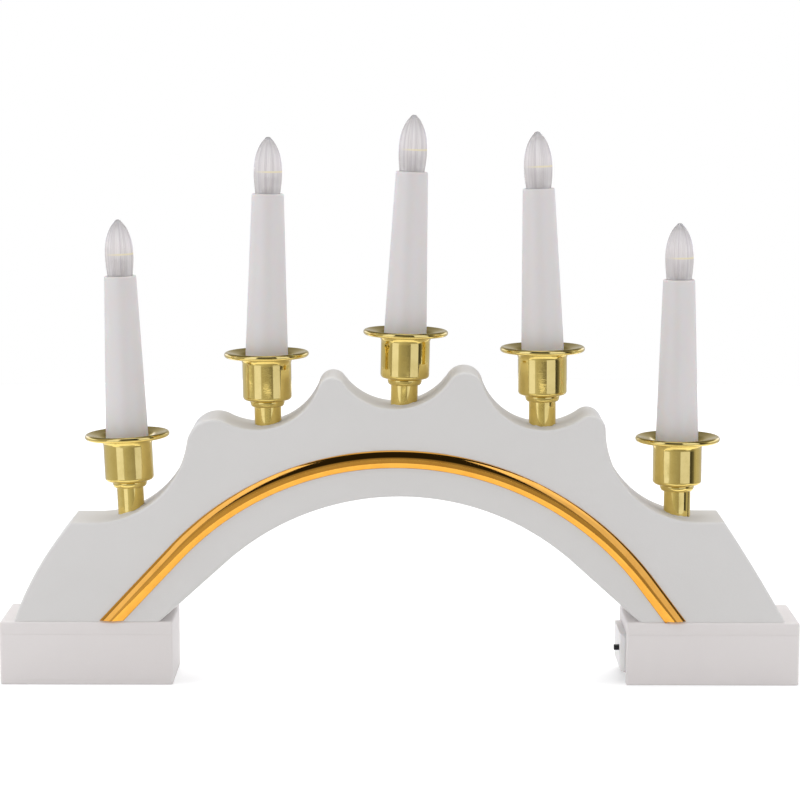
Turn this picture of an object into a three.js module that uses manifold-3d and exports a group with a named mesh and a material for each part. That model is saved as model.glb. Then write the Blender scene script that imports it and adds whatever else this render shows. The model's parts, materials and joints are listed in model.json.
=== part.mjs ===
// Battery candle arch: a scalloped wooden board on two hollow base blocks, with a brass strip round
// its opening and five spun brass cups that hold plastic candles with ribbed flame caps.
// Millimetres, +Z up, +Y towards the back. The origin is under the middle of the whole arch.
import * as THREE from 'three';
import { mergeVertices } from 'three/addons/utils/BufferGeometryUtils.js';
import Module from 'manifold-3d';

const wasm = await Module();
wasm.setup();
const deg = Math.PI / 180;
const quarter = Math.PI / 2;

// Sides of the turned pieces, and steps of the arcs
const roundSides = 18;
const screwSides = 12;
const smallSides = 8;
const cableSides = 6;
const wireSides = 5;
const openingSteps = 28;
const channelSteps = 24;
const valleySteps = 10;
const outerSteps = 8;
const hornSteps = 6;
const flankSteps = 4;
const stripSteps = 6;
const caseEndSteps = 6;
const lipSteps = 4;
const edgeSteps = 2;

// Points of a mesh that are nearer than this are one point
const mergeDistance = 1e-4;

// Clearances: between glued or stacked faces, round a piece that slides, and under the brass strip,
// which is nailed flat on the board; a cut runs past the faces that it opens
const seat = 0.3;
const runningGap = 0.3;
const flatGap = 0.01;
const overrun = 1;

// Base blocks
const blockHeight = 32;
const blockDepth = 44;
const blockLength = 86.4;
const topPlateThickness = 6.4;
const endThickness = 5;
const plateEdgeRadius = 1.2;
const innerLedge = 6.1;
const outerLedge = 7.2;

// Arch board; its heights are above its own feet
const boardThickness = 35;
const boardSetback = 0.8;
const openingRise = 63;
const openingRadius = 129.1;
const openingHalfAngle = 42 * deg;

// The row of five holders
const holderSpacing = 68.8;
const holderRowShift = 2.2;

// Five valleys of the top edge, from left to right; the shift is from an even row
const valleys = [
  { shift: -14.5, rise: 49.9, radius: 47.1 },
  { shift: -2.1, rise: 96.6, radius: 32.6 },
  { shift: -2.3, rise: 107, radius: 32.2 },
  { shift: 2.7, rise: 96.6, radius: 31.9 },
  { shift: 10.9, rise: 50.6, radius: 46.7 },
];

// The rounded horns between the valleys, and the shoulders with their bulging flanks, left first
const hornRadii = [13.6, 7, 9.5, 7.4];
const shoulders = [
  { flat: 11.6, flankRadius: 156 },
  { flat: 12.8, flankRadius: 750 },
];

// Half-round brass strip on the front face; it starts a set distance above the opening, and each
// side of it has a wider curve and a steeper leg than the opening, left first
const stripInset = 14.6;
const stripWidth = 8.8;
const stripCrown = 2.1;
const stripEdge = 0.35;
const stripShift = -2.2;
const stripSides = [
  { extraRadius: 1.8, extraAngle: 4.8 * deg },
  { extraRadius: 8.4, extraAngle: 11 * deg },
];

// Wiring channel routed in the back face, with its cover strip
const channelInset = 22;
const channelWidth = 8;
const channelPastMiddle = 3;
const coverThickness = 2.5;
const cableRadius = 0.9;
const branchRadius = 0.7;
const cableSlotHalf = 1.5;
const cableSlotDepth = 3;
const cableHoleBefore = 7;
const cableHoleAfter = 3;
const cableHoleHalf = 2;
const cableRunIn = 2;
const cableBend = 2;

// Brass cups; the profile heights are below the rim
const rimRadius = 21.15;
const lipRadius = 1.2;
const dishDrop = 2.6;
const coveRadius = 2.2;
const cupRadius = 12.5;
const cupWall = 0.8;
const cupDepth = 22.9;
const cupEdgeRadius = 1.9;
const collarHeight = 3.4;
const collarRadius = 8.6;
const collarEdgeRadius = 1.6;
const floorHoleRadius = 3;

// Rolled stem tubes
const stemRadius = 6.75;
const stemWall = 0.7;
const stemLength = 30;
const stemSeamWidth = 0.8;

// Candle sleeves and flame caps
const candleFootRadius = 10.6;
const candleTopRadius = 7.95;
const candleShown = 80;
const candleWall = 1.2;
const candleEdgeRadius = 0.7;
const capSpigotRadius = 6.2;
const capSpigotLength = 6;
const capLedge = 1.2;
const capHeight = 28.3;
const capRadius = 7.05;
const capBellyHeight = 10;
const capHollowHeight = 8.5;
const capRibs = 14;
const capRibDepth = 0.22;
const capTaperPower = 2.3;
const capRoundPower = 0.7;
const ledRadius = 2.5;
const ledFlangeRadius = 2.9;
const ledHeight = 8.6;
const ledFlangeHeight = 1;

// Battery case, its door, cells and switch
const caseHeadLength = 9;
const caseEndRadius = 3.5;
const caseCornerRadius = 2.4;
const caseWall = 1.2;
const caseProud = 3;
const caseFloorHeight = 4.5;
const cellRadius = 7.1;
const cellLength = 49.2;
const cellNubRadius = 2.7;
const cellNubHeight = 1.3;
const contactThickness = 0.5;
const springLength = 4.6;
const contactBumpHeight = 1;
const contactBump = { foot: 2, top: 1.4 };
const contactMargin = 1.2;
const springWireRadius = 0.35;
const springTurns = 2.5;
const springMargin = 2.4;
const doorThickness = 1.3;
const doorGrip = 0.5;
const doorRib = { count: 5, pitch: 2, width: 0.8, height: 0.5, half: 7, fromEnd: 3 };
const railLip = 0.8;
const knobHeight = 2.3;
const knobWidth = 2.8;
const knobProud = 2.6;
const knobTravel = 2.4;
const knobRise = 17.3;
const knobFromFront = 10;
const switchBody = { length: 8.6, depth: 5, height: 5.2 };
const switchPocket = 1.6;

// Screws
const woodScrew = { headRadius: 3.6, shankRadius: 1.9, length: 16 };
const caseScrew = { headRadius: 2.6, shankRadius: 1.2, length: 7 };
const woodScrewFromFoot = 8;
const bossRadius = 3.5;

// The five holders from left to right: how far each stands from its place in an even row and its
// candle from the middle of the cup, how much stem shows, how the cup and candle lean in degrees,
// and where the stem's seam faces, in degrees round from the right
const holders = [
  { place: -2, shift: 0.4, candleShift: -0.2, stemShown: 12, cupLean: -2.5, candleLean: -1.8, seam: 100 },
  { place: -1, shift: 0.5, candleShift: -0.15, stemShown: 9, cupLean: -0.9, candleLean: 0.65, seam: 80 },
  { place: 0, shift: -0.1, candleShift: -0.4, stemShown: 9.7, cupLean: 1.1, candleLean: 2.25, seam: 110 },
  { place: 1, shift: 0.3, candleShift: 0.35, stemShown: 12.2, cupLean: -0.4, candleLean: -1.9, seam: 95 },
  { place: 2, shift: -0.6, candleShift: -0.3, stemShown: 12.1, cupLean: -0.1, candleLean: -0.1, seam: -40 },
];

// Depths worked out so that the cups in front and the blocks at the back end alike
const boardY = (rimRadius + boardThickness / 2 + boardSetback - blockDepth) / 2;
const boardFront = boardY - boardThickness / 2;
const boardBack = boardY + boardThickness / 2;
const blockFront = boardFront - boardSetback;
const blockBack = blockFront + blockDepth;
const footZ = blockHeight + seat;

// An arch line is straight legs with a round top between them; widened, it runs outside itself
const opening = { rise: openingRise, radius: openingRadius, halfAngle: openingHalfAngle };
const widened = (arch, offset) => ({ ...arch, rise: arch.rise + offset, radius: arch.radius + offset });
const channel = widened(opening, channelInset);

// Where a leg of an arch line is at a height
function legX({ rise, radius, halfAngle }, z) {
  const bendZ = rise - radius + radius * Math.cos(halfAngle);
  return radius * Math.sin(halfAngle) + (bendZ - z) / Math.tan(halfAngle);
}

// Inner and outer ends of the blocks follow the legs of the board
const blockInner = legX(opening, 0) - innerLedge;
const blockOuter = blockInner + blockLength;
const footHalfWidth = blockOuter - outerLedge;
const panelTop = blockHeight - topPlateThickness - seat;

const finishes = {
  paint: { color: 0xdcd6d1, roughness: 0.55, metalness: 0 },
  brass: { color: 0xd9b64c, roughness: 0.18, metalness: 1 },
  strip: { color: 0xe0a23a, roughness: 0.28, metalness: 1 },
  candle: { color: 0xd9d5d3, roughness: 0.5, metalness: 0 },
  clear: { color: 0xe9ecec, roughness: 0.08, metalness: 0 },
  led: { color: 0xffe3b0, roughness: 0.2, metalness: 0 },
  caseWhite: { color: 0xd4d1cf, roughness: 0.45, metalness: 0 },
  knob: { color: 0x17171a, roughness: 0.5, metalness: 0 },
  cell: { color: 0x3f6f4a, roughness: 0.4, metalness: 0 },
  steel: { color: 0xb9bcc0, roughness: 0.3, metalness: 1 },
  cable: { color: 0xe8e8e4, roughness: 0.5, metalness: 0 },
};

// Turns faces outwards where a mesh came out inside out, and merges its doubled vertices
function closed(geometry) {
  const plain = geometry.index ? geometry : geometry.clone();
  plain.deleteAttribute('normal');
  plain.deleteAttribute('uv');
  const merged = mergeVertices(plain, mergeDistance);
  const position = merged.attributes.position;
  const index = Array.from(merged.index.array);
  const kept = [];
  let volume = 0;
  const [a, b, c] = [new THREE.Vector3(), new THREE.Vector3(), new THREE.Vector3()];
  for (let i = 0; i < index.length; i += 3) {
    const [p, q, r] = [index[i], index[i + 1], index[i + 2]];
    if (p === q || q === r || r === p) continue;
    kept.push(p, q, r);
    a.fromBufferAttribute(position, p);
    b.fromBufferAttribute(position, q);
    c.fromBufferAttribute(position, r);
    volume += a.dot(b.cross(c));
  }
  if (volume < 0) kept.reverse();
  merged.setIndex(kept);
  return merged;
}

function solid(geometry) {
  const shape = closed(geometry);
  return new wasm.Manifold(new wasm.Mesh({
    numProp: 3,
    vertProperties: new Float32Array(shape.attributes.position.array),
    triVerts: new Uint32Array(shape.index.array),
  }));
}

function fromSolid(manifold) {
  const mesh = manifold.getMesh();
  const geometry = new THREE.BufferGeometry();
  geometry.setAttribute('position', new THREE.BufferAttribute(new Float32Array(mesh.vertProperties), 3));
  geometry.setIndex(new THREE.BufferAttribute(new Uint32Array(mesh.triVerts), 1));
  return geometry;
}

// A body with pieces cut away and pieces joined on
function carve(body, cuts, joins = []) {
  let result = solid(body);
  for (const piece of joins) result = result.add(solid(piece));
  for (const piece of cuts) result = result.subtract(solid(piece));
  return fromSolid(result);
}

function box(x, y, z) {
  const geometry = new THREE.BoxGeometry(x[1] - x[0], y[1] - y[0], z[1] - z[0]);
  return geometry.translate((x[0] + x[1]) / 2, (y[0] + y[1]) / 2, (z[0] + z[1]) / 2);
}

// A profile of [radius, height] pairs turned about the Z axis
function turned(profile, segments) {
  const points = profile.map(([radius, height]) => new THREE.Vector2(radius, height));
  return new THREE.LatheGeometry(points, segments).rotateX(quarter);
}

function rod(radius, bottom, top, segments) {
  return turned([[0, bottom], [radius, bottom], [radius, top], [0, top]], segments);
}

// A flat outline in X and Z, given thickness from front to back
function slab(outline, front, back, bevel = 0) {
  const shape = new THREE.Shape(outline.map(([x, z]) => new THREE.Vector2(x, z)));
  const geometry = new THREE.ExtrudeGeometry(shape, {
    depth: back - front - 2 * bevel,
    bevelEnabled: bevel > 0,
    bevelThickness: bevel,
    bevelSize: bevel,
    bevelOffset: -bevel,
    bevelSegments: edgeSteps,
  });
  return geometry.rotateX(quarter).translate(0, back - bevel, 0);
}

// Points of an arc in the XZ plane; angles run from +X towards +Z
function arc(cx, cz, radius, from, to, steps) {
  return Array.from({ length: steps + 1 }, (_, i) => {
    const angle = from + ((to - from) * i) / steps;
    return [cx + radius * Math.cos(angle), cz + radius * Math.sin(angle)];
  });
}

// A section of [across, y] pairs carried along a path that lies in an XZ plane; level ends are
// cut along X, as where a strip stands on a block
function swept(drawn, path, level = false) {
  const outline = drawn.map(([across, y]) => new THREE.Vector2(across, y));
  if (THREE.ShapeUtils.isClockWise(outline)) outline.reverse();
  const section = outline.map(({ x, y }) => [x, y]);
  const positions = [];
  const index = [];
  const count = section.length;
  path.forEach(([x, z], i) => {
    const before = path[Math.max(i - 1, 0)];
    const after = path[Math.min(i + 1, path.length - 1)];
    const arrive = new THREE.Vector2(x - before[0], z - before[1]).normalize();
    const leave = new THREE.Vector2(after[0] - x, after[1] - z).normalize();
    if (i === 0) arrive.copy(leave);
    if (i === path.length - 1) leave.copy(arrive);
    const along = arrive.clone().add(leave).normalize();
    const stretch = 1 / along.dot(leave);
    const end = i === 0 || i === path.length - 1;
    for (const [across, y] of section) {
      if (level && end) positions.push(x - across / along.y, y, z);
      else positions.push(x - along.y * across * stretch, y, z + along.x * across * stretch);
    }
  });
  for (let i = 0; i + 1 < path.length; i += 1) {
    for (let j = 0; j < count; j += 1) {
      const [a, b] = [i * count + j, i * count + ((j + 1) % count)];
      index.push(a, b, a + count, b, b + count, a + count);
    }
  }
  const last = (path.length - 1) * count;
  for (const [a, b, c] of THREE.ShapeUtils.triangulateShape(outline, [])) {
    index.push(a, c, b, last + a, last + b, last + c);
  }
  const geometry = new THREE.BufferGeometry();
  geometry.setAttribute('position', new THREE.Float32BufferAttribute(positions, 3));
  geometry.setIndex(index);
  return geometry;
}

function roundSection(radius, y, sides) {
  return Array.from({ length: sides }, (_, i) => {
    const angle = (2 * Math.PI * i) / sides;
    return [radius * Math.cos(angle), y + radius * Math.sin(angle)];
  });
}

// Board

// Points of an arch line from right to left, its legs running a drop below the board's feet
function archPath(arch, drop, steps) {
  const { rise, radius, halfAngle } = arch;
  const [from, to] = [quarter - halfAngle, quarter + halfAngle];
  const top = arc(0, rise - radius, radius, from, to, steps);
  return [[legX(arch, -drop), -drop], ...top, [-legX(arch, -drop), -drop]];
}

const raised = (path) => path.map(([x, z]) => [x, z + footZ]);
const holderX = ({ place, shift }) => holderRowShift + place * holderSpacing + shift;
const middlePlace = (valleys.length - 1) / 2;
const valleyCentres = valleys.map(({ shift, rise, radius }, i) => {
  return [(i - middlePlace) * holderSpacing + shift, rise + radius];
});

// The circle of a horn touches the valley circles on both sides of it
const hornCentres = hornRadii.map((radius, i) => {
  const [left, right] = [valleyCentres[i], valleyCentres[i + 1]];
  const [dx, dz] = [right[0] - left[0], right[1] - left[1]];
  const gap = Math.hypot(dx, dz);
  const [toLeft, toRight] = [valleys[i].radius + radius, valleys[i + 1].radius + radius];
  const along = (gap * gap + toLeft * toLeft - toRight * toRight) / (2 * gap);
  const below = Math.sqrt(toLeft * toLeft - along * along);
  return [left[0] + (dx * along + dz * below) / gap, left[1] + (dz * along - dx * below) / gap];
});

const angleTo = (from, to) => Math.atan2(to[1] - from[1], to[0] - from[0]);
const turnDown = (angle) => (angle > 0 ? angle - 2 * Math.PI : angle);
const turnUp = (angle) => (angle < -quarter ? angle + 2 * Math.PI : angle);

// The bulging flank from a shoulder down to the foot, on the right for side 1
function flankEdge(side) {
  const valley = side < 0 ? 0 : valleys.length - 1;
  const { flat, flankRadius } = shoulders[side < 0 ? 0 : 1];
  const [x0, z0] = [side * valleyCentres[valley][0] + flat, valleys[valley].rise];
  const [dx, dz] = [footHalfWidth - x0, -z0];
  const half = Math.hypot(dx, dz) / 2;
  const bulge = Math.sqrt(flankRadius * flankRadius - half * half);
  const centre = [x0 + dx / 2 + (dz * bulge) / (2 * half), z0 + dz / 2 - (dx * bulge) / (2 * half)];
  const [from, to] = [angleTo(centre, [x0, z0]), angleTo(centre, [footHalfWidth, 0])];
  return arc(...centre, flankRadius, from, to, flankSteps).map(([x, z]) => [side * x, z]);
}

// The top edge from the left foot over the valleys and horns to the right foot
function topEdge() {
  const down = -quarter;
  const points = flankEdge(-1).reverse();
  valleys.forEach(({ radius }, i) => {
    const centre = valleyCentres[i];
    const [before, after] = [hornCentres[i - 1], hornCentres[i]];
    const from = before ? turnDown(angleTo(centre, before)) : down;
    const to = after ? angleTo(centre, after) : down;
    points.push(...arc(...centre, radius, from, to, before && after ? valleySteps : outerSteps));
    if (!after) return;
    const [left, right] = [turnUp(angleTo(after, centre)), angleTo(after, valleyCentres[i + 1])];
    points.push(...arc(...after, hornRadii[i], left, right, hornSteps).slice(1, -1));
  });
  return [...points, ...flankEdge(1)];
}

// Height of the board's top edge at a holder
function edgeHeight(holder) {
  const valley = holder.place + middlePlace;
  const [x, z] = valleyCentres[valley];
  const across = holderX(holder) - x;
  return footZ + z - Math.sqrt(valleys[valley].radius ** 2 - across * across);
}

// Height of the channel's centre line at a place along the board
function channelHeight(x) {
  const { rise, radius, halfAngle } = channel;
  const bendX = radius * Math.sin(halfAngle);
  if (Math.abs(x) < bendX) return footZ + rise - radius + Math.sqrt(radius * radius - x * x);
  const bendZ = rise - radius + radius * Math.cos(halfAngle);
  return footZ + bendZ - (Math.abs(x) - bendX) * Math.tan(halfAngle);
}

// Turns a shape made about the Z axis to the lean of a holder, at the board's top edge
function atHolder(geometry, holder) {
  return geometry.rotateY(holder.cupLean * deg).translate(holderX(holder), boardY, edgeHeight(holder));
}

const woodScrewPlaces = () => {
  const inner = legX(opening, 0) + woodScrewFromFoot;
  const outer = footHalfWidth - 2 * woodScrewFromFoot;
  return [-outer, -inner, inner, outer];
};

function archBoard() {
  const floor = boardBack - boardThickness / 2 - channelPastMiddle;
  const half = channelWidth / 2;
  const section = [[-half, floor], [half, floor], [half, boardBack + overrun], [-half, boardBack + overrun]];
  const groove = swept(section, raised(archPath(channel, overrun, channelSteps)), true);
  const bores = holders.map((holder) => {
    const depth = edgeHeight(holder) - channelHeight(holderX(holder));
    return atHolder(rod(stemRadius + seat, -depth, stemRadius, roundSides), holder);
  });
  const screwHoles = woodScrewPlaces().map((x) => {
    const top = blockHeight - topPlateThickness + woodScrew.length + seat;
    return rod(woodScrew.shankRadius + seat, footZ - overrun, top, screwSides).translate(x, boardY, 0);
  });
  const outline = raised([...topEdge(), ...archPath(opening, 0, openingSteps)]);
  return carve(slab(outline, boardFront, boardBack), [groove, ...bores, ...screwHoles]);
}

// The strip follows two arch lines that share their top
function stripPath(drop) {
  const along = widened(opening, stripInset + stripWidth / 2);
  const [left, right] = stripSides.map(({ extraRadius, extraAngle }) => archPath({
    ...along,
    radius: along.radius + extraRadius,
    halfAngle: along.halfAngle + extraAngle,
  }, drop, channelSteps));
  const middle = 1 + channelSteps / 2;
  return [...right.slice(0, middle), ...left.slice(middle)];
}

// The strip's face is an arc from edge to edge, flat at the back
function goldStrip() {
  const half = stripWidth / 2;
  const swell = stripCrown - stripEdge;
  const radius = (half * half + swell * swell) / (2 * swell);
  const spread = Math.asin(half / radius);
  const face = arc(0, radius - stripCrown, radius, -quarter - spread, spread - quarter, stripSteps);
  const outline = [...face, [half, -flatGap], [-half, -flatGap]];
  const section = outline.map(([across, y]) => [across, boardFront + y]);
  return swept(section, raised(stripPath(-seat)), true).translate(stripShift, 0, 0);
}

function channelCover() {
  const half = channelWidth / 2 - seat;
  const section = [[-half, boardBack - coverThickness], [half, boardBack - coverThickness],
    [half, boardBack], [-half, boardBack]];
  return swept(section, raised(archPath(channel, 0, channelSteps)), true);
}

// Holders

const cupRise = cupDepth + collarHeight;

// Cup of even wall: a collar round the stem, a straight body, and a dished flange with a rolled lip
function cup() {
  const inside = cupRadius - cupWall;
  const socket = stemRadius + seat;
  const collarBottom = -cupDepth - collarHeight;
  const coveX = cupRadius + coveRadius;
  const coveZ = -dishDrop - coveRadius;
  const down = -quarter;
  const collarX = collarRadius - collarEdgeRadius;
  return turned([
    [socket, collarBottom],
    ...arc(collarX, collarBottom + collarEdgeRadius, collarEdgeRadius, down, 0, edgeSteps),
    [collarRadius, -cupDepth],
    ...arc(cupRadius - cupEdgeRadius, cupEdgeRadius - cupDepth, cupEdgeRadius, down, 0, edgeSteps),
    ...arc(coveX, coveZ, coveRadius, Math.PI, quarter, edgeSteps),
    ...arc(rimRadius - lipRadius, 0, lipRadius, down, quarter, lipSteps),
    ...arc(coveX, coveZ, coveRadius + cupWall, quarter, Math.PI, edgeSteps),
    [inside, cupWall - cupDepth],
    [floorHoleRadius, cupWall - cupDepth],
    [floorHoleRadius, -cupDepth],
    [socket, -cupDepth],
    [socket, collarBottom],
  ], roundSides);
}

// A tube rolled from sheet, so it keeps an open seam down one side
function stem(seam) {
  const inner = stemRadius - stemWall;
  const seamHalf = stemSeamWidth / 2 / stemRadius;
  const from = seam * deg + seamHalf;
  const to = seam * deg + 2 * Math.PI - seamHalf;
  const outer = arc(0, 0, stemRadius, from, to, roundSides);
  const bore = arc(0, 0, inner, to, from, roundSides);
  const shape = new THREE.Shape([...outer, ...bore].map(([x, y]) => new THREE.Vector2(x, y)));
  return new THREE.ExtrudeGeometry(shape, { depth: stemLength, bevelEnabled: false });
}

// Sleeve, straight where the cup hides it and tapered above, with a rounded top edge and a ledge
// inside that carries the flame cap
function candle(length) {
  const socket = capSpigotRadius + seat;
  const ledgeZ = length - capSpigotLength - seat;
  const ledgeIn = socket - capLedge;
  const edgeX = candleTopRadius - candleEdgeRadius;
  return turned([
    [candleFootRadius - candleWall, 0],
    [candleFootRadius, 0],
    [candleFootRadius, length - candleShown],
    ...arc(edgeX, length - candleEdgeRadius, candleEdgeRadius, 0, quarter, edgeSteps),
    [socket, length],
    [socket, ledgeZ],
    [ledgeIn, ledgeZ],
    [ledgeIn, ledgeZ - capLedge],
    [candleFootRadius - candleWall, 0],
  ], roundSides);
}

// Shares of the cap's height that carry a ring of points
const flameSteps = [0, 0.16, 0.35, 0.54, 0.71, 0.85, 0.95];

// Radius of the flame cap at a height above the candle: a swelling foot, a belly and a blunt tip
function flameRadius(height) {
  if (height < capBellyHeight) {
    const swell = Math.sin(quarter * (height / capBellyHeight));
    return capSpigotRadius + (capRadius - capSpigotRadius) * swell;
  }
  const rise = (height - capBellyHeight) / (capHeight - capBellyHeight);
  return capRadius * (1 - rise ** capTaperPower) ** capRoundPower;
}

// Clear cap with flutes down its outside and a round hollow that the lamp stands in
function flameCap() {
  const outside = flameSteps.map((share) => [flameRadius(share * capHeight), share * capHeight]);
  const bore = ledFlangeRadius + runningGap;
  const profile = [
    [bore, -capSpigotLength],
    [capSpigotRadius, -capSpigotLength],
    ...outside,
    [0, capHeight],
    [0, capHollowHeight],
    [bore, capHollowHeight],
    [bore, -capSpigotLength],
  ];
  const points = profile.map(([radius, height]) => new THREE.Vector2(radius, height));
  const geometry = new THREE.LatheGeometry(points, 2 * capRibs);
  const position = geometry.attributes.position;
  for (let i = 1; i < 2 * capRibs; i += 2) {
    for (let j = 3; j < 2 + outside.length; j += 1) {
      const at = i * points.length + j;
      const shrink = 1 - capRibDepth / points[j].x;
      position.setX(at, position.getX(at) * shrink);
      position.setZ(at, position.getZ(at) * shrink);
    }
  }
  return geometry.rotateX(quarter);
}

function led() {
  const dome = arc(0, ledHeight - ledRadius, ledRadius, 0, quarter, edgeSteps);
  return turned([
    [0, 0],
    [ledFlangeRadius, 0],
    [ledFlangeRadius, ledFlangeHeight],
    [ledRadius, ledFlangeHeight],
    ...dome.slice(0, -1),
    [0, ledHeight],
  ], smallSides);
}

// Base blocks, drawn for the right side; side is 1 or -1

const around = (middle, half) => [middle - half, middle + half];
const cableHole = () => [legX(channel, 0) - cableHoleBefore, legX(channel, 0) + cableHoleAfter];

// Top, front and back plates and ends; the front and back plates fill what the case leaves of the depth
function block(side) {
  const facePanel = blockDepth / 2 - caseHalf - seat;
  const across = (from, to) => (side > 0 ? [from, to] : [-to, -from]);
  const full = across(blockInner, blockOuter);
  const rows = [blockFront, blockBack];
  const plan = (x, y, bottom, top, bevel) => {
    const outline = [[x[0], bottom], [x[1], bottom], [x[1], top], [x[0], top]];
    return slab(outline, y[0], y[1], bevel);
  };
  const plate = plan(full, rows, blockHeight - topPlateThickness, blockHeight, plateEdgeRadius);
  const screwCuts = woodScrewPlaces().filter((x) => x * side > 0).map((x) => {
    return screwShape(woodScrew, seat).translate(x, boardY, blockHeight - topPlateThickness);
  });
  const cableCut = box(cableHole(), around(boardY, cableHoleHalf), [0, blockHeight + overrun]);
  const caseScrewCuts = caseScrewPlaces().map((x) => {
    const top = bayTop + caseScrew.length + seat;
    return rod(caseScrew.shankRadius + seat, 0, top, screwSides).translate(x, caseY, 0);
  });
  const cuts = side > 0 ? [...screwCuts, cableCut, ...caseScrewCuts] : screwCuts;
  const middle = [blockFront + facePanel + seat, blockBack - facePanel - seat];
  const panel = (y) => plan(full, y, 0, panelTop, 0);
  const outerX = across(blockOuter - endThickness, blockOuter);
  const innerX = across(blockInner, blockInner + endThickness);
  const pieces = {
    top_plate: carve(plate, cuts),
    front_plate: panel([blockFront, blockFront + facePanel]),
    back_plate: panel([blockBack - facePanel, blockBack]),
    outer_end: box(outerX, middle, [0, panelTop]),
  };
  if (side < 0) pieces.inner_end = box(innerX, middle, [0, panelTop]);
  return pieces;
}

// Countersunk screw with its head down; clearance widens it into its own hole
function screwShape({ headRadius, shankRadius, length }, clearance = 0) {
  const [head, shank] = [headRadius + clearance, shankRadius + clearance];
  const cone = headRadius - shankRadius;
  const bottom = clearance > 0 ? [[0, -overrun], [head, -overrun]] : [[0, 0]];
  return turned([...bottom, [head, 0], [shank, cone], [shank, length + clearance],
    [0, length + clearance]], screwSides);
}

// Battery case in the right block

const caseInner = blockInner - caseProud;
const caseY = (blockFront + blockBack) / 2;
const cellRow = cellRadius + seat / 2;
const bayHalf = cellRow + cellRadius + seat;
const doorWayHalf = bayHalf + doorGrip + runningGap;
const caseHalf = doorWayHalf + caseWall;
const bayFloor = caseFloorHeight + railLip + doorThickness + 2 * runningGap;
const cellZ = bayFloor + seat + cellRadius;
const bayTop = cellZ + cellRadius + seat;
const bayStart = caseInner + caseHeadLength;
const contactDepth = seat + contactThickness;
const cellFromWall = contactDepth + springLength + seat;
const bayEnd = bayStart + cellFromWall + cellLength + cellNubHeight + seat + contactBumpHeight + contactDepth;
const caseEnd = bayEnd + caseWall;
const knobY = blockFront + knobFromFront;

// The case's two screws stand between the cable hole and the outer wood screw
const caseScrewPlaces = () => {
  const clear = bossRadius + seat;
  return [cableHole()[1] + clear, woodScrewPlaces()[3] - woodScrew.headRadius - clear];
};

// Outline of the case's head from the side, its lower inner edge rounded; set in by a wall for the
// hollow inside, whose floor is higher
function headOutline(inset, floor) {
  const [left, right] = [caseInner + inset, bayStart - inset];
  const [centreX, centreZ] = [caseInner + caseEndRadius, caseFloorHeight + caseEndRadius];
  const radius = caseEndRadius - inset;
  const turn = Math.asin(Math.min((centreZ - floor) / radius, 1));
  const round = arc(centreX, centreZ, radius, -Math.PI, turn - Math.PI, caseEndSteps);
  const lower = floor < centreZ ? round : [[left, floor]];
  return [[left, panelTop - inset], ...lower, [right, floor], [right, panelTop - inset]];
}

function knobRun() {
  const half = knobWidth / 2 + runningGap;
  return [[knobY - half, knobY + half + knobTravel], around(knobRise, knobHeight / 2 + runningGap)];
}

function batteryCase() {
  const body = slab(headOutline(0, caseFloorHeight), ...around(caseY, caseHalf), caseCornerRadius);
  const hollow = slab(headOutline(caseWall, bayFloor + caseWall), ...around(caseY, caseHalf - caseWall));
  const bayShell = [caseFloorHeight, bayTop + caseWall];
  const bay = box([bayStart - flatGap, caseEnd], around(caseY, caseHalf), bayShell);
  const bosses = caseScrewPlaces().map((x) => {
    return rod(bossRadius, bayTop, panelTop, roundSides).translate(x, caseY, 0);
  });
  const slot = around(boardY, cableSlotHalf);
  const slotFloor = panelTop - caseWall - cableRadius;
  const doorWay = around(caseY, doorWayHalf);
  const cuts = [
    hollow,
    box([bayStart, bayEnd], around(caseY, bayHalf), [caseFloorHeight - overrun, bayTop]),
    box([bayStart - overrun, bayEnd], doorWay, [caseFloorHeight + railLip, bayFloor]),
    box([caseInner - overrun, bayStart], doorWay, [caseFloorHeight - overrun, bayFloor]),
    box([bayStart - caseWall - overrun, bayStart + overrun], slot, [bayTop + caseWall, panelTop + overrun]),
    box([bayStart - caseWall - cableSlotDepth, bayStart + overrun], slot, [slotFloor, panelTop + overrun]),
    box([caseInner - overrun, caseInner + caseWall + overrun], ...knobRun()),
    ...caseScrewPlaces().map((x) => screwShape(caseScrew, seat).translate(x, caseY, bayTop)),
  ];
  return carve(body, cuts, [bay, ...bosses]);
}

// The door slides in the rails under the cells; its inner end stops where the case's rounding
// leaves room for it, and carries ribs for the thumb
function batteryDoor() {
  const bottom = caseFloorHeight + railLip + runningGap;
  const drop = caseFloorHeight + caseEndRadius - bottom;
  const start = caseInner + caseEndRadius - Math.sqrt(caseEndRadius ** 2 - drop ** 2);
  const plate = box([start, bayEnd - runningGap], around(caseY, bayHalf + doorGrip),
    [bottom, bottom + doorThickness]);
  const ribs = Array.from({ length: doorRib.count }, (_, i) => {
    const x = start + doorRib.fromEnd + i * doorRib.pitch;
    const height = [bottom - doorRib.height, bottom + doorThickness / 2];
    return box([x, x + doorRib.width], around(caseY, doorRib.half), height);
  });
  return carve(plate, [], ribs);
}

// A cell lying along X, its nub towards +X when facing is 1
function cell(facing) {
  const body = turned([[0, 0], [cellRadius, 0], [cellRadius, cellLength], [cellNubRadius, cellLength],
    [cellNubRadius, cellLength + cellNubHeight], [0, cellLength + cellNubHeight]], roundSides);
  return body.rotateY(facing * quarter);
}

// A conical coil that winds from a wide base to a narrow end, as one round wire
function coil(length, wide, narrow) {
  class Spiral extends THREE.Curve {
    getPoint(t, target = new THREE.Vector3()) {
      const angle = 2 * Math.PI * springTurns * t;
      const radius = wide + (narrow - wide) * t;
      return target.set(length * t, radius * Math.cos(angle), radius * Math.sin(angle));
    }
  }
  const wire = roundSection(springWireRadius, 0, wireSides).map(([x, y]) => new THREE.Vector2(x, y));
  const settings = { extrudePath: new Spiral(), steps: smallSides * springTurns, bevelEnabled: false };
  return new THREE.ExtrudeGeometry(new THREE.Shape(wire), settings);
}

const contactHalf = cellRadius - contactMargin;

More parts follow.
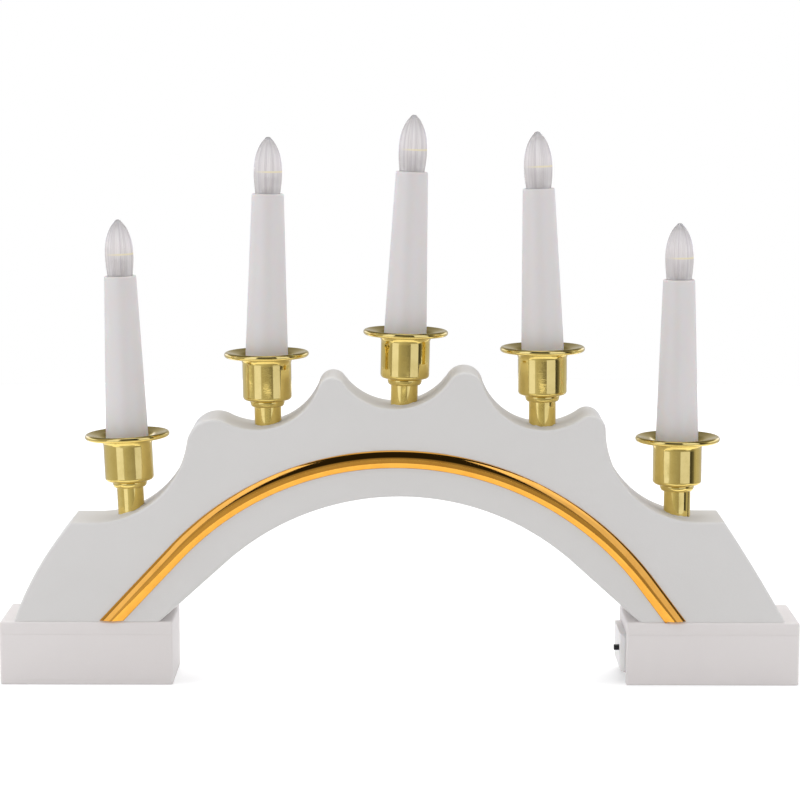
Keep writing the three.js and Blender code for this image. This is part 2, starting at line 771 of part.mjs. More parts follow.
function contactPlate(x, y) {
  return box([x, x + contactThickness], around(y, contactHalf), around(cellZ, contactHalf));
}

function batteryContacts() {
  const nearX = bayStart + seat;
  const farX = bayEnd - contactDepth;
  const rows = around(caseY, cellRow);
  const spring = coil(springLength, cellRadius - springMargin, cellNubRadius);
  const nearSpring = spring.clone().translate(nearX + contactThickness, rows[1], cellZ);
  const farSpring = spring.clone().rotateZ(Math.PI).translate(farX, rows[0], cellZ);
  const { foot, top } = contactBump;
  const bump = turned([[0, 0], [foot, 0], [top, contactBumpHeight], [0, contactBumpHeight]], screwSides);
  const nearBump = bump.clone().rotateY(quarter).translate(nearX + contactThickness, rows[0], cellZ);
  const farBump = bump.clone().rotateY(-quarter).translate(farX, rows[1], cellZ);
  const bridge = box([farX, farX + contactThickness], around(caseY, cellRow + contactHalf),
    around(cellZ, contactHalf));
  return {
    contact_negative: carve(contactPlate(nearX, rows[1]), [], [nearSpring]),
    contact_positive: carve(contactPlate(nearX, rows[0]), [], [nearBump]),
    contact_bridge: carve(bridge, [], [farSpring, farBump]),
  };
}

const switchX = caseInner + caseWall + seat;

function slideSwitch() {
  const { length, depth, height } = switchBody;
  const middle = knobY + knobTravel / 2;
  const body = box([switchX, switchX + depth], around(middle, length / 2), around(knobRise, height / 2));
  const pocket = box([switchX - overrun, switchX + switchPocket], ...knobRun());
  const knob = box([caseInner - knobProud, switchX + switchPocket - runningGap], around(knobY, knobWidth / 2),
    around(knobRise, knobHeight / 2));
  return { body: carve(body, [pocket]), knob };
}

// Cable: from the case head, over the cells, up the right leg and along the channel, with one
// branch up through each stem and candle

function cableRoute() {
  const overCells = bayTop + caseWall + seat + cableRadius;
  const start = legX(channel, 0);
  const left = holderX(holders[0]);
  const inChannel = ([x]) => x > left && x < start - cableBend / 2;
  const along = raised(archPath(channel, 0, channelSteps)).filter(inChannel);
  return [
    [bayStart - caseWall - cableRunIn, overCells - cableRunIn],
    [bayStart - caseWall, overCells],
    [start - 2 * cableBend, overCells],
    [start - cableBend, overCells + cableBend / 2],
    [start - cableBend / 2, blockHeight],
    ...along,
    [left - cableRadius, channelHeight(left - cableRadius)],
  ];
}

// The candle leans about a point half way up its cup, so its foot goes the other way
function placeHolder(holder) {
  const lean = holder.cupLean * deg;
  const candleLean = (holder.candleLean - holder.cupLean) * deg;
  const rim = holder.stemShown + cupRise;
  const lift = seat + candleFootRadius * Math.abs(Math.sin(candleLean));
  const candleX = holder.candleShift - (Math.sin(candleLean) * cupDepth) / 2;
  const candleZ = rim - cupDepth + cupWall + lift;
  const candleLength = candleShown + rim - candleZ;
  return { lean, candleLean, rim, candleX, candleZ, candleLength };
}

// Where a height on the leaning candle lies, in the plane of the board
function candlePoint(holder, height) {
  const { lean, candleLean, candleX, candleZ } = placeHolder(holder);
  const turn = lean + candleLean;
  const x = candleX * Math.cos(lean) + candleZ * Math.sin(lean) + height * Math.sin(turn);
  const z = candleZ * Math.cos(lean) - candleX * Math.sin(lean) + height * Math.cos(turn);
  return [holderX(holder) + x, edgeHeight(holder) + z];
}

const lampHeight = ({ candleLength }) => candleLength - capSpigotLength + ledFlangeHeight;

function wiring() {
  const trunk = swept(roundSection(cableRadius, boardY, cableSides), cableRoute());
  const branches = holders.map((holder) => {
    const x = holderX(holder);
    const place = placeHolder(holder);
    const route = [
      [x, channelHeight(x)],
      candlePoint(holder, 0),
      candlePoint(holder, lampHeight(place) - seat),
    ];
    return swept(roundSection(branchRadius, boardY, cableSides), route);
  });
  return carve(trunk, [], branches);
}

// Assembly

const arch = new THREE.Group();
arch.name = 'candle_arch';

function add(parent, name, geometry, finish) {
  const mesh = new THREE.Mesh(closed(geometry), new THREE.MeshStandardMaterial(finishes[finish]));
  mesh.name = name;
  parent.add(mesh);
  return mesh;
}

add(arch, 'arch_board', archBoard(), 'paint');
add(arch, 'gold_strip', goldStrip(), 'strip');
add(arch, 'channel_cover', channelCover(), 'paint');
add(arch, 'wiring', wiring(), 'cable');

for (const [name, side] of [['left', -1], ['right', 1]]) {
  for (const [piece, geometry] of Object.entries(block(side))) {
    add(arch, `${name}_${piece}`, geometry, 'paint');
  }
}

woodScrewPlaces().forEach((x, i) => {
  const screw = screwShape(woodScrew).translate(x, boardY, blockHeight - topPlateThickness);
  add(arch, `board_screw_${i + 1}`, screw, 'steel');
});

holders.forEach((holder, i) => {
  const number = i + 1;
  const { lean, candleLean, rim, candleX, candleZ, candleLength } = placeHolder(holder);
  const upright = new THREE.Group();
  upright.position.set(holderX(holder), boardY, edgeHeight(holder));
  upright.rotation.y = lean;
  arch.add(upright);
  const stemTop = rim - cupDepth - seat;
  add(upright, `cup_${number}`, cup(), 'brass').position.z = rim;
  add(upright, `stem_${number}`, stem(holder.seam), 'brass').position.z = stemTop - stemLength;
  const sleeve = new THREE.Group();
  sleeve.position.set(candleX, 0, candleZ);
  sleeve.rotation.y = candleLean;
  upright.add(sleeve);
  add(sleeve, `candle_${number}`, candle(candleLength), 'candle');
  add(sleeve, `flame_cap_${number}`, flameCap(), 'clear').position.z = candleLength;
  add(sleeve, `lamp_${number}`, led(), 'led').position.z = lampHeight({ candleLength });
});

add(arch, 'battery_case', batteryCase(), 'caseWhite');
add(arch, 'battery_door', batteryDoor(), 'caseWhite');
add(arch, 'battery_1', cell(1), 'cell').position.set(bayStart + cellFromWall, caseY + cellRow, cellZ);
add(arch, 'battery_2', cell(-1), 'cell').position.set(bayEnd - cellFromWall, caseY - cellRow, cellZ);
for (const [name, geometry] of Object.entries(batteryContacts())) add(arch, name, geometry, 'steel');
const powerSwitch = slideSwitch();
add(arch, 'switch_body', powerSwitch.body, 'steel');
add(arch, 'switch_knob', powerSwitch.knob, 'knob');
caseScrewPlaces().forEach((x, i) => {
  const screw = screwShape(caseScrew).translate(x, caseY, bayTop);
  add(arch, `case_screw_${i + 1}`, screw, 'steel');
});

export default arch;
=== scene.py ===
# %% [markdown]
# # A battery candle arch
# A thick painted board with a scalloped top stands on two hollow blocks. Five spun brass cups on
# rolled stems hold plastic candles with clear, fluted flame caps, and a gold strip follows the opening.
# The construction, with its true sizes and joints, is loaded first. Everything made here takes its
# place from it, so nothing is fitted by eye.

import json
import math

import bmesh
import bpy
import numpy as np
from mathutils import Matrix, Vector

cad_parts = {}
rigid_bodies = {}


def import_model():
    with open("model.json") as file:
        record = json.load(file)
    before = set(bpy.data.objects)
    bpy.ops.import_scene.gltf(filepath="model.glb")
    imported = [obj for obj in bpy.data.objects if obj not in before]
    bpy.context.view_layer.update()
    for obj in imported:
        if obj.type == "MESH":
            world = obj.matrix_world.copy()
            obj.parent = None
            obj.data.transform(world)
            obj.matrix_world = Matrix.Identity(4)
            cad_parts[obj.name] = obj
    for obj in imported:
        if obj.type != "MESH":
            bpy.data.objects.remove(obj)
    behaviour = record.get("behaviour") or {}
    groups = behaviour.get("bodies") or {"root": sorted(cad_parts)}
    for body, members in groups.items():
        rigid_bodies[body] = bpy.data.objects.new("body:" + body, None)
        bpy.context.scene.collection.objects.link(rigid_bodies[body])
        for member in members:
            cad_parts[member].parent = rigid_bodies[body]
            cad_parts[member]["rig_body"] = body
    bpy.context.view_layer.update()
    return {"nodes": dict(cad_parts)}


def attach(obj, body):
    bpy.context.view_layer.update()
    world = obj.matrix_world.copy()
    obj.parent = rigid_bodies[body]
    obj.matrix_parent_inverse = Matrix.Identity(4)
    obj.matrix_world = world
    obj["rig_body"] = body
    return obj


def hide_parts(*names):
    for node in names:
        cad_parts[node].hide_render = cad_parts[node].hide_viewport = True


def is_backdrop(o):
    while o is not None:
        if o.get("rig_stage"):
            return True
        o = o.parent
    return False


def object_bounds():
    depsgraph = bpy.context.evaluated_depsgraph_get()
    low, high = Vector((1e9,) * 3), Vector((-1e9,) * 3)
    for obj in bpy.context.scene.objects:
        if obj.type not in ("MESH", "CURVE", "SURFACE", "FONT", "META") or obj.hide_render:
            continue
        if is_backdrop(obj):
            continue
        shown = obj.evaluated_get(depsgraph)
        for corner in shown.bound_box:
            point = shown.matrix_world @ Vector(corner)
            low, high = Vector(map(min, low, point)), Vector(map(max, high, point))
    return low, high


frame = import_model()
nodes = frame["nodes"]

MM = 0.001

# %% Reading and marking meshes


def rows_of(piece, field="co"):
    """The place of each vertex of a piece, or another vector that it has, one row for each."""
    flat = np.empty(len(piece.data.vertices) * 3)
    piece.data.vertices.foreach_get(field, flat)
    return flat.reshape(-1, 3)


def store(piece, name, values):
    """Keeps one number for each vertex of a piece under a name."""
    piece.data.attributes.new(name, "FLOAT", "POINT").data.foreach_set("value", values.astype(np.float32))


def span(node):
    """Lowest and highest corner of a node."""
    points = rows_of(nodes[node])
    return points.min(0), points.max(0)


def half_depth(node):
    """Half the depth of a node in millimetres: the outer radius of an upright tube."""
    low, high = span(node)
    return (high[1] - low[1]) / 2 / MM


def axis_of(node):
    """Foot, direction and length in millimetres of a turned node.

    Its points spread alike in every direction round its axis, so the axis is the direction of the
    spread's table (its covariance) whose value differs from the other two.
    """
    points = np.unique(rows_of(nodes[node]).round(7), axis=0)
    centre = points.mean(0)
    values, directions = np.linalg.eigh(np.cov((points - centre).T))
    odd = 0 if values[1] - values[0] > values[2] - values[1] else 2
    axis = directions[:, odd] * np.sign(directions[2, odd])
    along = (points - centre) @ axis
    foot, head = centre + axis * along.min(), centre + axis * along.max()
    return foot, axis, np.linalg.norm(head - foot) / MM


# %% [markdown]
# ## Surfaces from grids
# Every new shape is a grid of points, worked out as whole arrays: a profile turned about an axis, or
# a section carried along a path. Box modelling would do for a single arch, but here each size stays a
# number. One function turns such a grid into a mesh, joins its seams, merges the points that meet at
# a pole, and stores where on the surface each corner lies.

# %% Meshes


def mesh_object(name, points, faces, uv=None):
    """An object whose mesh has these points and faces; uv holds one pair for each face corner."""
    mesh = bpy.data.meshes.new(name)
    mesh.from_pydata(points.reshape(-1, 3).tolist(), [], [list(face) for face in faces])
    if uv is not None:
        layer = mesh.uv_layers.new(name="surface")
        layer.data.foreach_set("uv", np.asarray(uv, float).ravel())
    piece = bpy.data.objects.new(name, mesh)
    bpy.context.scene.collection.objects.link(piece)
    return piece


def merge_doubles(piece, distance=1e-7):
    """Joins points that lie in one place, which closes seams and poles, and splits the caps."""
    work = bmesh.new()
    work.from_mesh(piece.data)
    bmesh.ops.remove_doubles(work, verts=work.verts, dist=distance)
    bmesh.ops.dissolve_degenerate(work, edges=work.edges, dist=distance)
    bmesh.ops.recalc_face_normals(work, faces=work.faces)
    caps = [face for face in work.faces if len(face.verts) > 4]
    bmesh.ops.triangulate(work, faces=caps, ngon_method="EAR_CLIP")
    work.to_mesh(piece.data)
    work.free()


def shade(piece, sharp=35):
    """Smooth shading, with creases left sharp past an angle in degrees."""
    piece.data.polygons.foreach_set("use_smooth", [True] * len(piece.data.polygons))
    piece.data.set_sharp_from_angle(angle=math.radians(sharp))
    piece.data.update()


# %% Grids


def grid_object(name, grid, round_rows=False, round_columns=False, caps=False, sharp=35):
    """A mesh over a grid of points[row, column]: each quad joins two rows and two columns.

    A round direction closes on itself. Caps close the first and last row with one face each.
    The stored surface place is the share of the way along each direction, from 0 to 1.
    """
    rows, columns, _ = grid.shape
    down = np.arange(rows if round_rows else rows - 1)
    over = np.arange(columns if round_columns else columns - 1)
    i, j = (part.ravel() for part in np.meshgrid(down, over, indexing="ij"))
    i2, j2 = (i + 1) % rows, (j + 1) % columns
    faces = np.stack([i * columns + j, i * columns + j2, i2 * columns + j2, i2 * columns + j], 1)
    v, u = i / len(down), j / len(over)
    v2, u2 = (i + 1) / len(down), (j + 1) / len(over)
    uv = np.stack([u, v, u2, v, u2, v2, u, v2], 1).reshape(-1, 2)
    faces = faces.tolist()
    if caps:
        first = list(range(columns))
        faces += [first[::-1], [(rows - 1) * columns + k for k in first]]
        uv = np.concatenate([uv, np.zeros((2 * columns, 2))])
    piece = mesh_object(name, grid, faces, uv)
    merge_doubles(piece)
    shade(piece, sharp)
    return piece


# %% Profiles with rounded corners


def rounded(corners, steps=6):
    """A polyline whose corners are arcs; each corner is (x, y, radius).

    The arc touches both sides at radius / tan(half the corner's angle) from the corner, and its
    centre lies on the line that halves the angle.
    """
    corners = np.asarray(corners, float)
    places, radii = corners[:, :2], corners[:, 2]
    made = [places[:1]]
    for k in range(1, len(places) - 1):
        corner = places[k]
        back, ahead = places[k - 1] - corner, places[k + 1] - corner
        reach = min(np.linalg.norm(back), np.linalg.norm(ahead)) * 0.49
        back, ahead = back / np.linalg.norm(back), ahead / np.linalg.norm(ahead)
        half = math.acos(np.clip(back @ ahead, -1, 1)) / 2
        setback = min(radii[k] / math.tan(half), reach) if half > 1e-3 else 0
        if setback < 1e-6 or half > math.pi / 2 - 0.01:
            made.append(corner[None])
            continue
        radius = setback * math.tan(half)
        middle = (back + ahead) / np.linalg.norm(back + ahead)
        centre = corner + middle * radius / math.sin(half)
        start, end = corner + back * setback - centre, corner + ahead * setback - centre
        turn = math.atan2(start[0] * end[1] - start[1] * end[0], start @ end)
        angles = math.atan2(start[1], start[0]) + turn * np.linspace(0, 1, steps + 1)
        made.append(centre + radius * np.stack([np.cos(angles), np.sin(angles)], 1))
    made.append(places[-1:])
    return np.concatenate(made)


def supported(profile, edge=0.15, step=3.0):
    """The same polyline with points added on its straight runs.

    A run gets a point close to each end, so that the shading of a rounded corner stays in it, and
    points between them no more than a step apart.
    """
    made = []
    for a, b in zip(profile[:-1], profile[1:]):
        length = np.linalg.norm(b - a)
        if length < 4 * edge:
            shares = np.array([0.0])
        else:
            inner = np.linspace(edge / length, 1 - edge / length, max(2, math.ceil(length / step)))
            shares = np.concatenate([[0.0], inner])
        made.append(a + shares[:, None] * (b - a))
    made.append(profile[-1:])
    return np.concatenate(made)


# %% Turned shapes


def across_from(axis):
    """Two directions square to an axis and to each other, the first as near to +X as it goes."""
    side = np.array([1.0, 0, 0]) - axis * axis[0]
    side /= np.linalg.norm(side)
    return side, np.cross(axis, side)


def turned(name, profile, origin, axis, around=96, closed=False, radius_change=None, sharp=35):
    """A profile of (radius, height) in millimetres turned about an axis through origin.

    The point is origin + height along the axis + radius times (cos a, sin a) in the plane square
    to it. radius_change(angle, height, radius) is added to the radius.
    """
    side, other = across_from(axis)
    angles = np.linspace(0, 2 * math.pi, around, endpoint=False)
    radius, height = profile[:, 0][:, None], profile[:, 1][:, None]
    if radius_change is not None:
        radius = radius + radius_change(angles[None], height, radius)
    turn = np.cos(angles)[:, None] * side + np.sin(angles)[:, None] * other
    grid = origin + MM * (height[..., None] * axis + (radius + 0 * angles)[..., None] * turn)
    return grid_object(name, grid, round_rows=closed, round_columns=True, sharp=sharp)


# %% [markdown]
# ## Paths and outlines
# The board is one closed outline, given thickness with a rounded edge. To round the edge, the
# outline is drawn several times, each a little smaller, and the copies become rows of a grid. The
# flat faces are single faces inside one more row, which keeps their shading flat.

# %% Arcs and moved outlines


def arc(centre, radius, start, end, steps):
    """Points of an arc; the angles run from +X towards +Z."""
    angles = np.linspace(start, end, steps + 1)
    return np.stack([centre[0] + radius * np.cos(angles), centre[1] + radius * np.sin(angles)], 1)


def outward(outline):
    """At each point of a closed outline, the step that moves both its sides out by one."""
    ahead = np.roll(outline, -1, 0) - outline
    ahead /= np.linalg.norm(ahead, axis=1)[:, None]
    behind = np.roll(ahead, 1, 0)
    normals = np.stack([ahead[:, 1], -ahead[:, 0]], 1) + np.stack([behind[:, 1], -behind[:, 0]], 1)
    normals /= np.linalg.norm(normals, axis=1)[:, None]
    share = np.maximum((normals * np.stack([ahead[:, 1], -ahead[:, 0]], 1)).sum(1), 0.4)
    return normals / share[:, None]


def level_feet(outline, moves):
    """Lets the lowest points of an outline slide along the ground with their sloping side."""
    low = np.isclose(outline[:, 1], outline[:, 1].min())
    ahead = np.roll(outline, -1, 0) - outline
    ahead /= np.linalg.norm(ahead, axis=1)[:, None]
    for i in np.flatnonzero(low):
        slope = ahead[i - 1] if low[(i + 1) % len(outline)] else ahead[i]
        moves[i] = [1 / slope[1], 0]
    return moves


# %% Slabs with rounded edges


def slab(name, outline, front, back, edge, steps=5, flat=0.8):
    """An anticlockwise outline in X and Z, from front to back in Y, its edges rounded but for the feet.

    Each row is the outline moved inwards by edge * (1 - sin t) at a depth of edge * (1 - cos t).
    """
    turn = np.linspace(0, math.pi / 2, steps + 1)
    inset = np.concatenate([[edge + flat], edge * (1 - np.sin(turn))])
    depth = np.concatenate([[0], edge * (1 - np.cos(turn))])
    rows_y = np.concatenate([front + depth, [(front + back) / 2], back - depth[::-1]])
    rows_in = np.concatenate([inset, [0], inset[::-1]])
    moves = level_feet(outline, outward(outline))
    flat_rows = outline[None] - rows_in[:, None, None] * moves[None]
    depth_rows = np.broadcast_to(rows_y[:, None], flat_rows.shape[:2])
    grid = MM * np.stack([flat_rows[..., 0], depth_rows, flat_rows[..., 1]], -1)
    return grid_object(name, grid, round_columns=True, caps=True)


# %% Cutting


def cut(piece, cutter):
    """Takes the cutter's shape away from a piece, for good."""
    tool = piece.modifiers.new("cut", "BOOLEAN")
    tool.object = cutter
    tool.solver = "MANIFOLD"
    evaluated = piece.evaluated_get(bpy.context.evaluated_depsgraph_get())
    mesh = bpy.data.meshes.new_from_object(evaluated)
    piece.modifiers.clear()
    piece.data = mesh
    bpy.data.objects.remove(cutter)
    shade(piece)


# %% [markdown]
# ## Camera and plain light
# The picture was taken from a little above with a long lens, so the board's front is seen almost
# square on. White paint wants even light from all round. A sun lamp would be simpler, but it throws a
# hard shadow, so the world gives most of the light, and three area lamps, one on each side and one
# behind, lift the tops and the ends.

# %% Camera
CAMERA_PLACE = (0, -1.2913, 0.3156)
CAMERA_DOWN = 7.7
CAMERA_ROLL = 0.0016
CAMERA_SHIFT = 0.0005
LENS = 117
SENSOR = 36

camera_data = bpy.data.cameras.new("camera")
camera_data.lens = LENS
camera_data.sensor_width = SENSOR
camera_data.shift_y = CAMERA_SHIFT
camera = bpy.data.objects.new("camera", camera_data)
bpy.context.scene.collection.objects.link(camera)
camera.location = CAMERA_PLACE
tilt = math.radians(90 - CAMERA_DOWN)
camera.rotation_euler = (tilt, -CAMERA_ROLL * math.sin(tilt), CAMERA_ROLL * math.cos(tilt))
bpy.context.scene.camera = camera
bpy.context.scene.view_settings.view_transform = "Standard"
print("camera at", tuple(round(x, 3) for x in camera.location))

# %% Node helpers


def put(tree, kind, settings=None, **inputs):
    """A new shader node. Each input is a value or another node's output; i0 means the first input."""
    made = tree.nodes.new(kind)
    for key, value in (settings or {}).items():
        setattr(made, key, value)
    for key, value in inputs.items():
        place = int(key[1:]) if key[0] == "i" and key[1:].isdigit() else key.replace("_", " ")
        if isinstance(value, bpy.types.NodeSocket):
            tree.links.new(value, made.inputs[place])
        else:
            made.inputs[place].default_value = value
    return made


def maths(tree, operation, a, b=0.0, clamp=False):
    """The result of one sum on two numbers or sockets."""
    return put(tree, "ShaderNodeMath", {"operation": operation, "use_clamp": clamp}, i0=a, i1=b).outputs[0]


def ranged(tree, share, start, reach):
    """start plus a share of reach."""
    return maths(tree, "ADD", maths(tree, "MULTIPLY", share, reach), start)


def blended(tree, share, a, b):
    """A colour between a and b."""
    return put(tree, "ShaderNodeMix", {"data_type": "RGBA"}, i0=share, i6=a, i7=b).outputs[2]


def stored(tree, name):
    """A number stored on the mesh, such as how near an edge is."""
    return put(tree, "ShaderNodeAttribute", {"attribute_name": name}).outputs["Fac"]


def direct_rays(tree):
    """1 for a ray from the camera, a mirror or clear plastic, 0 for one that gathers light."""
    ray = put(tree, "ShaderNodeLightPath").outputs
    seen = maths(tree, "MAXIMUM", ray["Is Camera Ray"], ray["Is Glossy Ray"])
    return maths(tree, "MAXIMUM", seen, ray["Is Transmission Ray"])


def new_material(name):
    """An empty material, its node tree and its output."""
    material = bpy.data.materials.new(name)
    material.use_nodes = True
    tree = material.node_tree
    tree.nodes.clear()
    return material, tree, tree.nodes.new("ShaderNodeOutputMaterial")


def surface(material, tree, out, **inputs):
    """Gives a material its own shader, with these inputs, and returns the material."""
    shader = put(tree, "ShaderNodeBsdfPrincipled", **inputs)
    tree.links.new(shader.outputs[0], out.inputs["Surface"])
    return material


# %% World
ROOM_LIGHT = 0.78

world = bpy.data.worlds.new("studio")
bpy.context.scene.world = world
world.use_nodes = True
sky = world.node_tree
sky.nodes.clear()
level = ranged(sky, direct_rays(sky), ROOM_LIGHT, 1 - ROOM_LIGHT)
backdrop = put(sky, "ShaderNodeBackground", Color=(1, 1, 1, 1), Strength=level)
put(sky, "ShaderNodeOutputWorld", Surface=backdrop.outputs[0])
print("world: white as seen,", ROOM_LIGHT, "as light")

# %% Lamps
MIDDLE = np.array([0, 0, 0.12])
BOX_DISTANCE = 1.3
# Azimuth and elevation in degrees, width and height in metres, and glow.
SOFT_BOXES = {
    "left_box": (-74, 30, 0.7, 1.1, 1.5),
    "right_box": (74, 30, 0.7, 1.1, 0.95),
    "top_box": (180, 72, 1.4, 1.2, 1.7),
}


def towards(azimuth, elevation):
    """Direction from the middle of the arch; azimuth 0 is the camera's side and 90 the right."""
    flat = np.cos(elevation)
    return np.stack([np.sin(azimuth) * flat, -np.cos(azimuth) * flat, np.sin(elevation)], -1)


def soft_box(name, azimuth, elevation, width, height, glow):
    """An area lamp that looks at the arch.

    glow is its brightness as seen, so its power is glow * pi * its area.
    """
    data = bpy.data.lights.new(name, "AREA")
    data.shape = "RECTANGLE"
    data.size, data.size_y = width, height
    data.energy = glow * math.pi * width * height
    lamp = bpy.data.objects.new(name, data)
    azimuth, elevation = math.radians(azimuth), math.radians(elevation)
    lamp.location = towards(azimuth, elevation) * BOX_DISTANCE + MIDDLE
    lamp.rotation_euler = (math.pi / 2 - elevation, 0, azimuth)
    lamp.visible_glossy = False
    bpy.context.scene.collection.objects.link(lamp)


for name, values in SOFT_BOXES.items():
    soft_box(name, *values)
print("lamps:", ", ".join(SOFT_BOXES))

# %% [markdown]
# ## What the brass mirrors
# Polished brass shows what stands round it more than it shows its own colour. A picture of a room
# could be wrapped round the world, but a few glowing sheets are easier to place: each shows as one
# bright or dark bar on every cup. Only reflections see them, so they light nothing else. There is a
# dim room all round, a bright sheet close by on each side of the camera, a dark one past the right
# one, and the dim table beyond the lit part of the floor.

# %% Steps and tables


def smooth_step(x, low, high):
    """0 below low, 1 above high, and an even S between them."""
    t = np.clip((x - low) / (high - low), 0, 1)
    return t * t * (3 - 2 * t)


def by_table(table, x):
    """The value at x, on straight lines between the entries of a table."""
    return np.interp(x, list(table), list(table.values()))


# %% Glowing sheets
DIM, DAYLIGHT = (1.0, 1.0, 0.98, 1), (0.95, 1.02, 1.45, 1)
DAYLIGHT_FROM, DAYLIGHT_RATE = 0.55, 3.3


def screen_material():
    """Glow by the number stored on the mesh: the dim parts are warm, the bright ones are daylight."""
    material, tree, out = new_material("reflection_screen")
    value = stored(tree, "glow")
    bright = maths(tree, "MULTIPLY", maths(tree, "SUBTRACT", value, DAYLIGHT_FROM), DAYLIGHT_RATE, True)
    light = put(tree, "ShaderNodeEmission", Color=blended(tree, bright, DIM, DAYLIGHT), Strength=value)
    tree.links.new(light.outputs[0], out.inputs["Surface"])
    return material


glowing = screen_material()


def screen(name, grid, glow):
    """A sheet over a grid of points in metres that only reflections see, with its own glow at each."""
    sheet = grid_object(name, grid)
    store(sheet, "glow", glow(rows_of(sheet)))
    sheet.data.materials.append(glowing)
    sheet.visible_camera = False
    sheet.visible_diffuse = False
    sheet.visible_transmission = False
    sheet.visible_shadow = False
    sheet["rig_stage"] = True


# %% The dim room
ROOM_RADIUS = 1.5
OVERHEAD = 1.0
ABOVE_CAMERA = 0.02
ASIDE_BEHIND = 1.3
# The glow of the room near the horizon, by azimuth, and behind the arch, by elevation, in degrees.
ROOM_BY_TURN = {
    -180: 0.58, -120: 0.56, -95: 0.58, -75: 0.46, -63: 0.44, -32: 0.56, -20: 0.46, -10: 0.38, 0: 0.33,
    10: 0.28, 20: 0.23, 32: 0.2, 58: 0.2, 63: 0.09, 78: 0.09, 84: 0.3, 95: 0.52, 120: 0.52, 180: 0.58,
}
BACK_BY_HEIGHT = {0: 0.56, 10: 0.5, 18: 0.4, 26: 0.3, 36: 0.2, 50: 0.12, 65: 0.1, 75: 0.13, 90: 0.5}
# Where one part of the room goes over into the next, in degrees of azimuth or elevation.
AHEAD_ENDS, BEHIND_BEGINS, ASIDE_ENDS = (50, 66), (80, 100), (148, 162)
DARK_BEGINS, OVERHEAD_BEGINS, BAND_BEGINS, BAND_ENDS = (4, 14), (62, 68), (1, 8), (18, 26)


def azimuth_of(places):
    """Degrees from the camera's side, positive to the right."""
    return np.degrees(np.arctan2(places[:, 0], -places[:, 1]))


def room_glow(places):
    """The room's glow by direction: dark above the camera, bright overhead.

    Behind the arch it darkens upwards, but for a low bright band on each side.
    """
    azimuth = azimuth_of(places)
    elevation = np.degrees(np.arcsin(np.clip((places[:, 2] - MIDDLE[2]) / ROOM_RADIUS, -1, 1)))
    inner, outer = AHEAD_ENDS
    ahead = smooth_step(azimuth, -outer, -inner) * (1 - smooth_step(azimuth, inner, outer))
    dark = smooth_step(elevation, *DARK_BEGINS) * ahead
    glow = by_table(ROOM_BY_TURN, azimuth) * (1 - dark) + ABOVE_CAMERA * dark
    over = smooth_step(elevation, *OVERHEAD_BEGINS)
    glow = glow * (1 - over) + OVERHEAD * over
    behind = smooth_step(np.abs(azimuth), *BEHIND_BEGINS)
    band = smooth_step(elevation, *BAND_BEGINS) * (1 - smooth_step(elevation, *BAND_ENDS))
    aside = band * (1 - smooth_step(np.abs(azimuth), *ASIDE_ENDS))
    back = by_table(BACK_BY_HEIGHT, elevation) * (1 - aside) + ASIDE_BEHIND * aside
    return glow * (1 - behind) + back * behind


turns, heights = np.radians(np.linspace(-180, 180, 361)), np.radians(np.linspace(-26, 88, 115))
screen("room", towards(*np.meshgrid(turns, heights)) * ROOM_RADIUS + MIDDLE, room_glow)
print("room:", ROOM_RADIUS, "m in radius")

# %% Sheets beside the camera
SHEET_FOOT, SHEET_TOP = 0.002, 0.75
# Both ends on the floor, a glow, what it gains, along which coordinate, and from where to where.
SHEETS = {
    "left_sheet": ((-0.348, -0.179), (-0.281, -0.461), 1.06, 0.25, 2, 0.25, 0.5),
    "right_sheet": ((0.215, -0.470), (0.500, -0.250), 0.90, 0.40, 2, 0.25, 0.5),
    "dark_sheet": ((0.500, -0.250), (0.610, -0.090), 0.07, 0.12, 1, -0.2, -0.09),
}


def upright(start, end):
    """Points of an upright sheet between two places on the ground."""
    share, height = np.meshgrid(np.linspace(0, 1, 9), np.linspace(SHEET_FOOT, SHEET_TOP, 9))
    flat = np.array(start) + share[..., None] * (np.array(end) - np.array(start))
    return np.concatenate([flat, height[..., None]], -1)


for name, (start, end, base, gain, axis, low, high) in SHEETS.items():
    screen(name, upright(start, end), lambda p: base + gain * smooth_step(p[:, axis], low, high))
print("sheets:", ", ".join(SHEETS))

# %% The table beyond the lit part
TABLE_LIFT = 0.0006
TABLE_BASE, TABLE_SHARE = 0.22, 0.75
# Left, right, front and back edge.
TABLES = {
    "front_table": (-1.1, 1.1, -1.1, -0.15),
    "back_table": (-1.1, 1.1, 0.3, 1.1),
    "left_table": (-1.1, -0.33, -0.15, 0.3),
    "right_table": (0.33, 1.1, -0.15, 0.3),
}


def table_glow(places):
    """The dim table by direction: a base and a share of the room behind it."""
    return TABLE_BASE + TABLE_SHARE * by_table(ROOM_BY_TURN, azimuth_of(places))


for name, (left, right, front, back) in TABLES.items():
    along, across = np.meshgrid(np.linspace(left, right, 45), np.linspace(front, back, 39))
    screen(name, np.stack([along, across, TABLE_LIFT + 0 * along], -1), table_glow)
print("table:", ", ".join(TABLES))

# %% [markdown]
# ## The floor
# The arch stands on a plain pale surface, as white as the background, with only a faint shadow. A
# shadow catcher would need the picture to be put together afterwards, so the floor is a plain disc
# that glows a little for the camera, enough to turn it white where no shadow falls.

# %% Floor
FLOOR_RADIUS = 1.2
FLOOR_GLOW = 0.30
FLOOR_TONES = (0.80, 0.80, 0.80, 1), (0.83, 0.83, 0.83, 1)


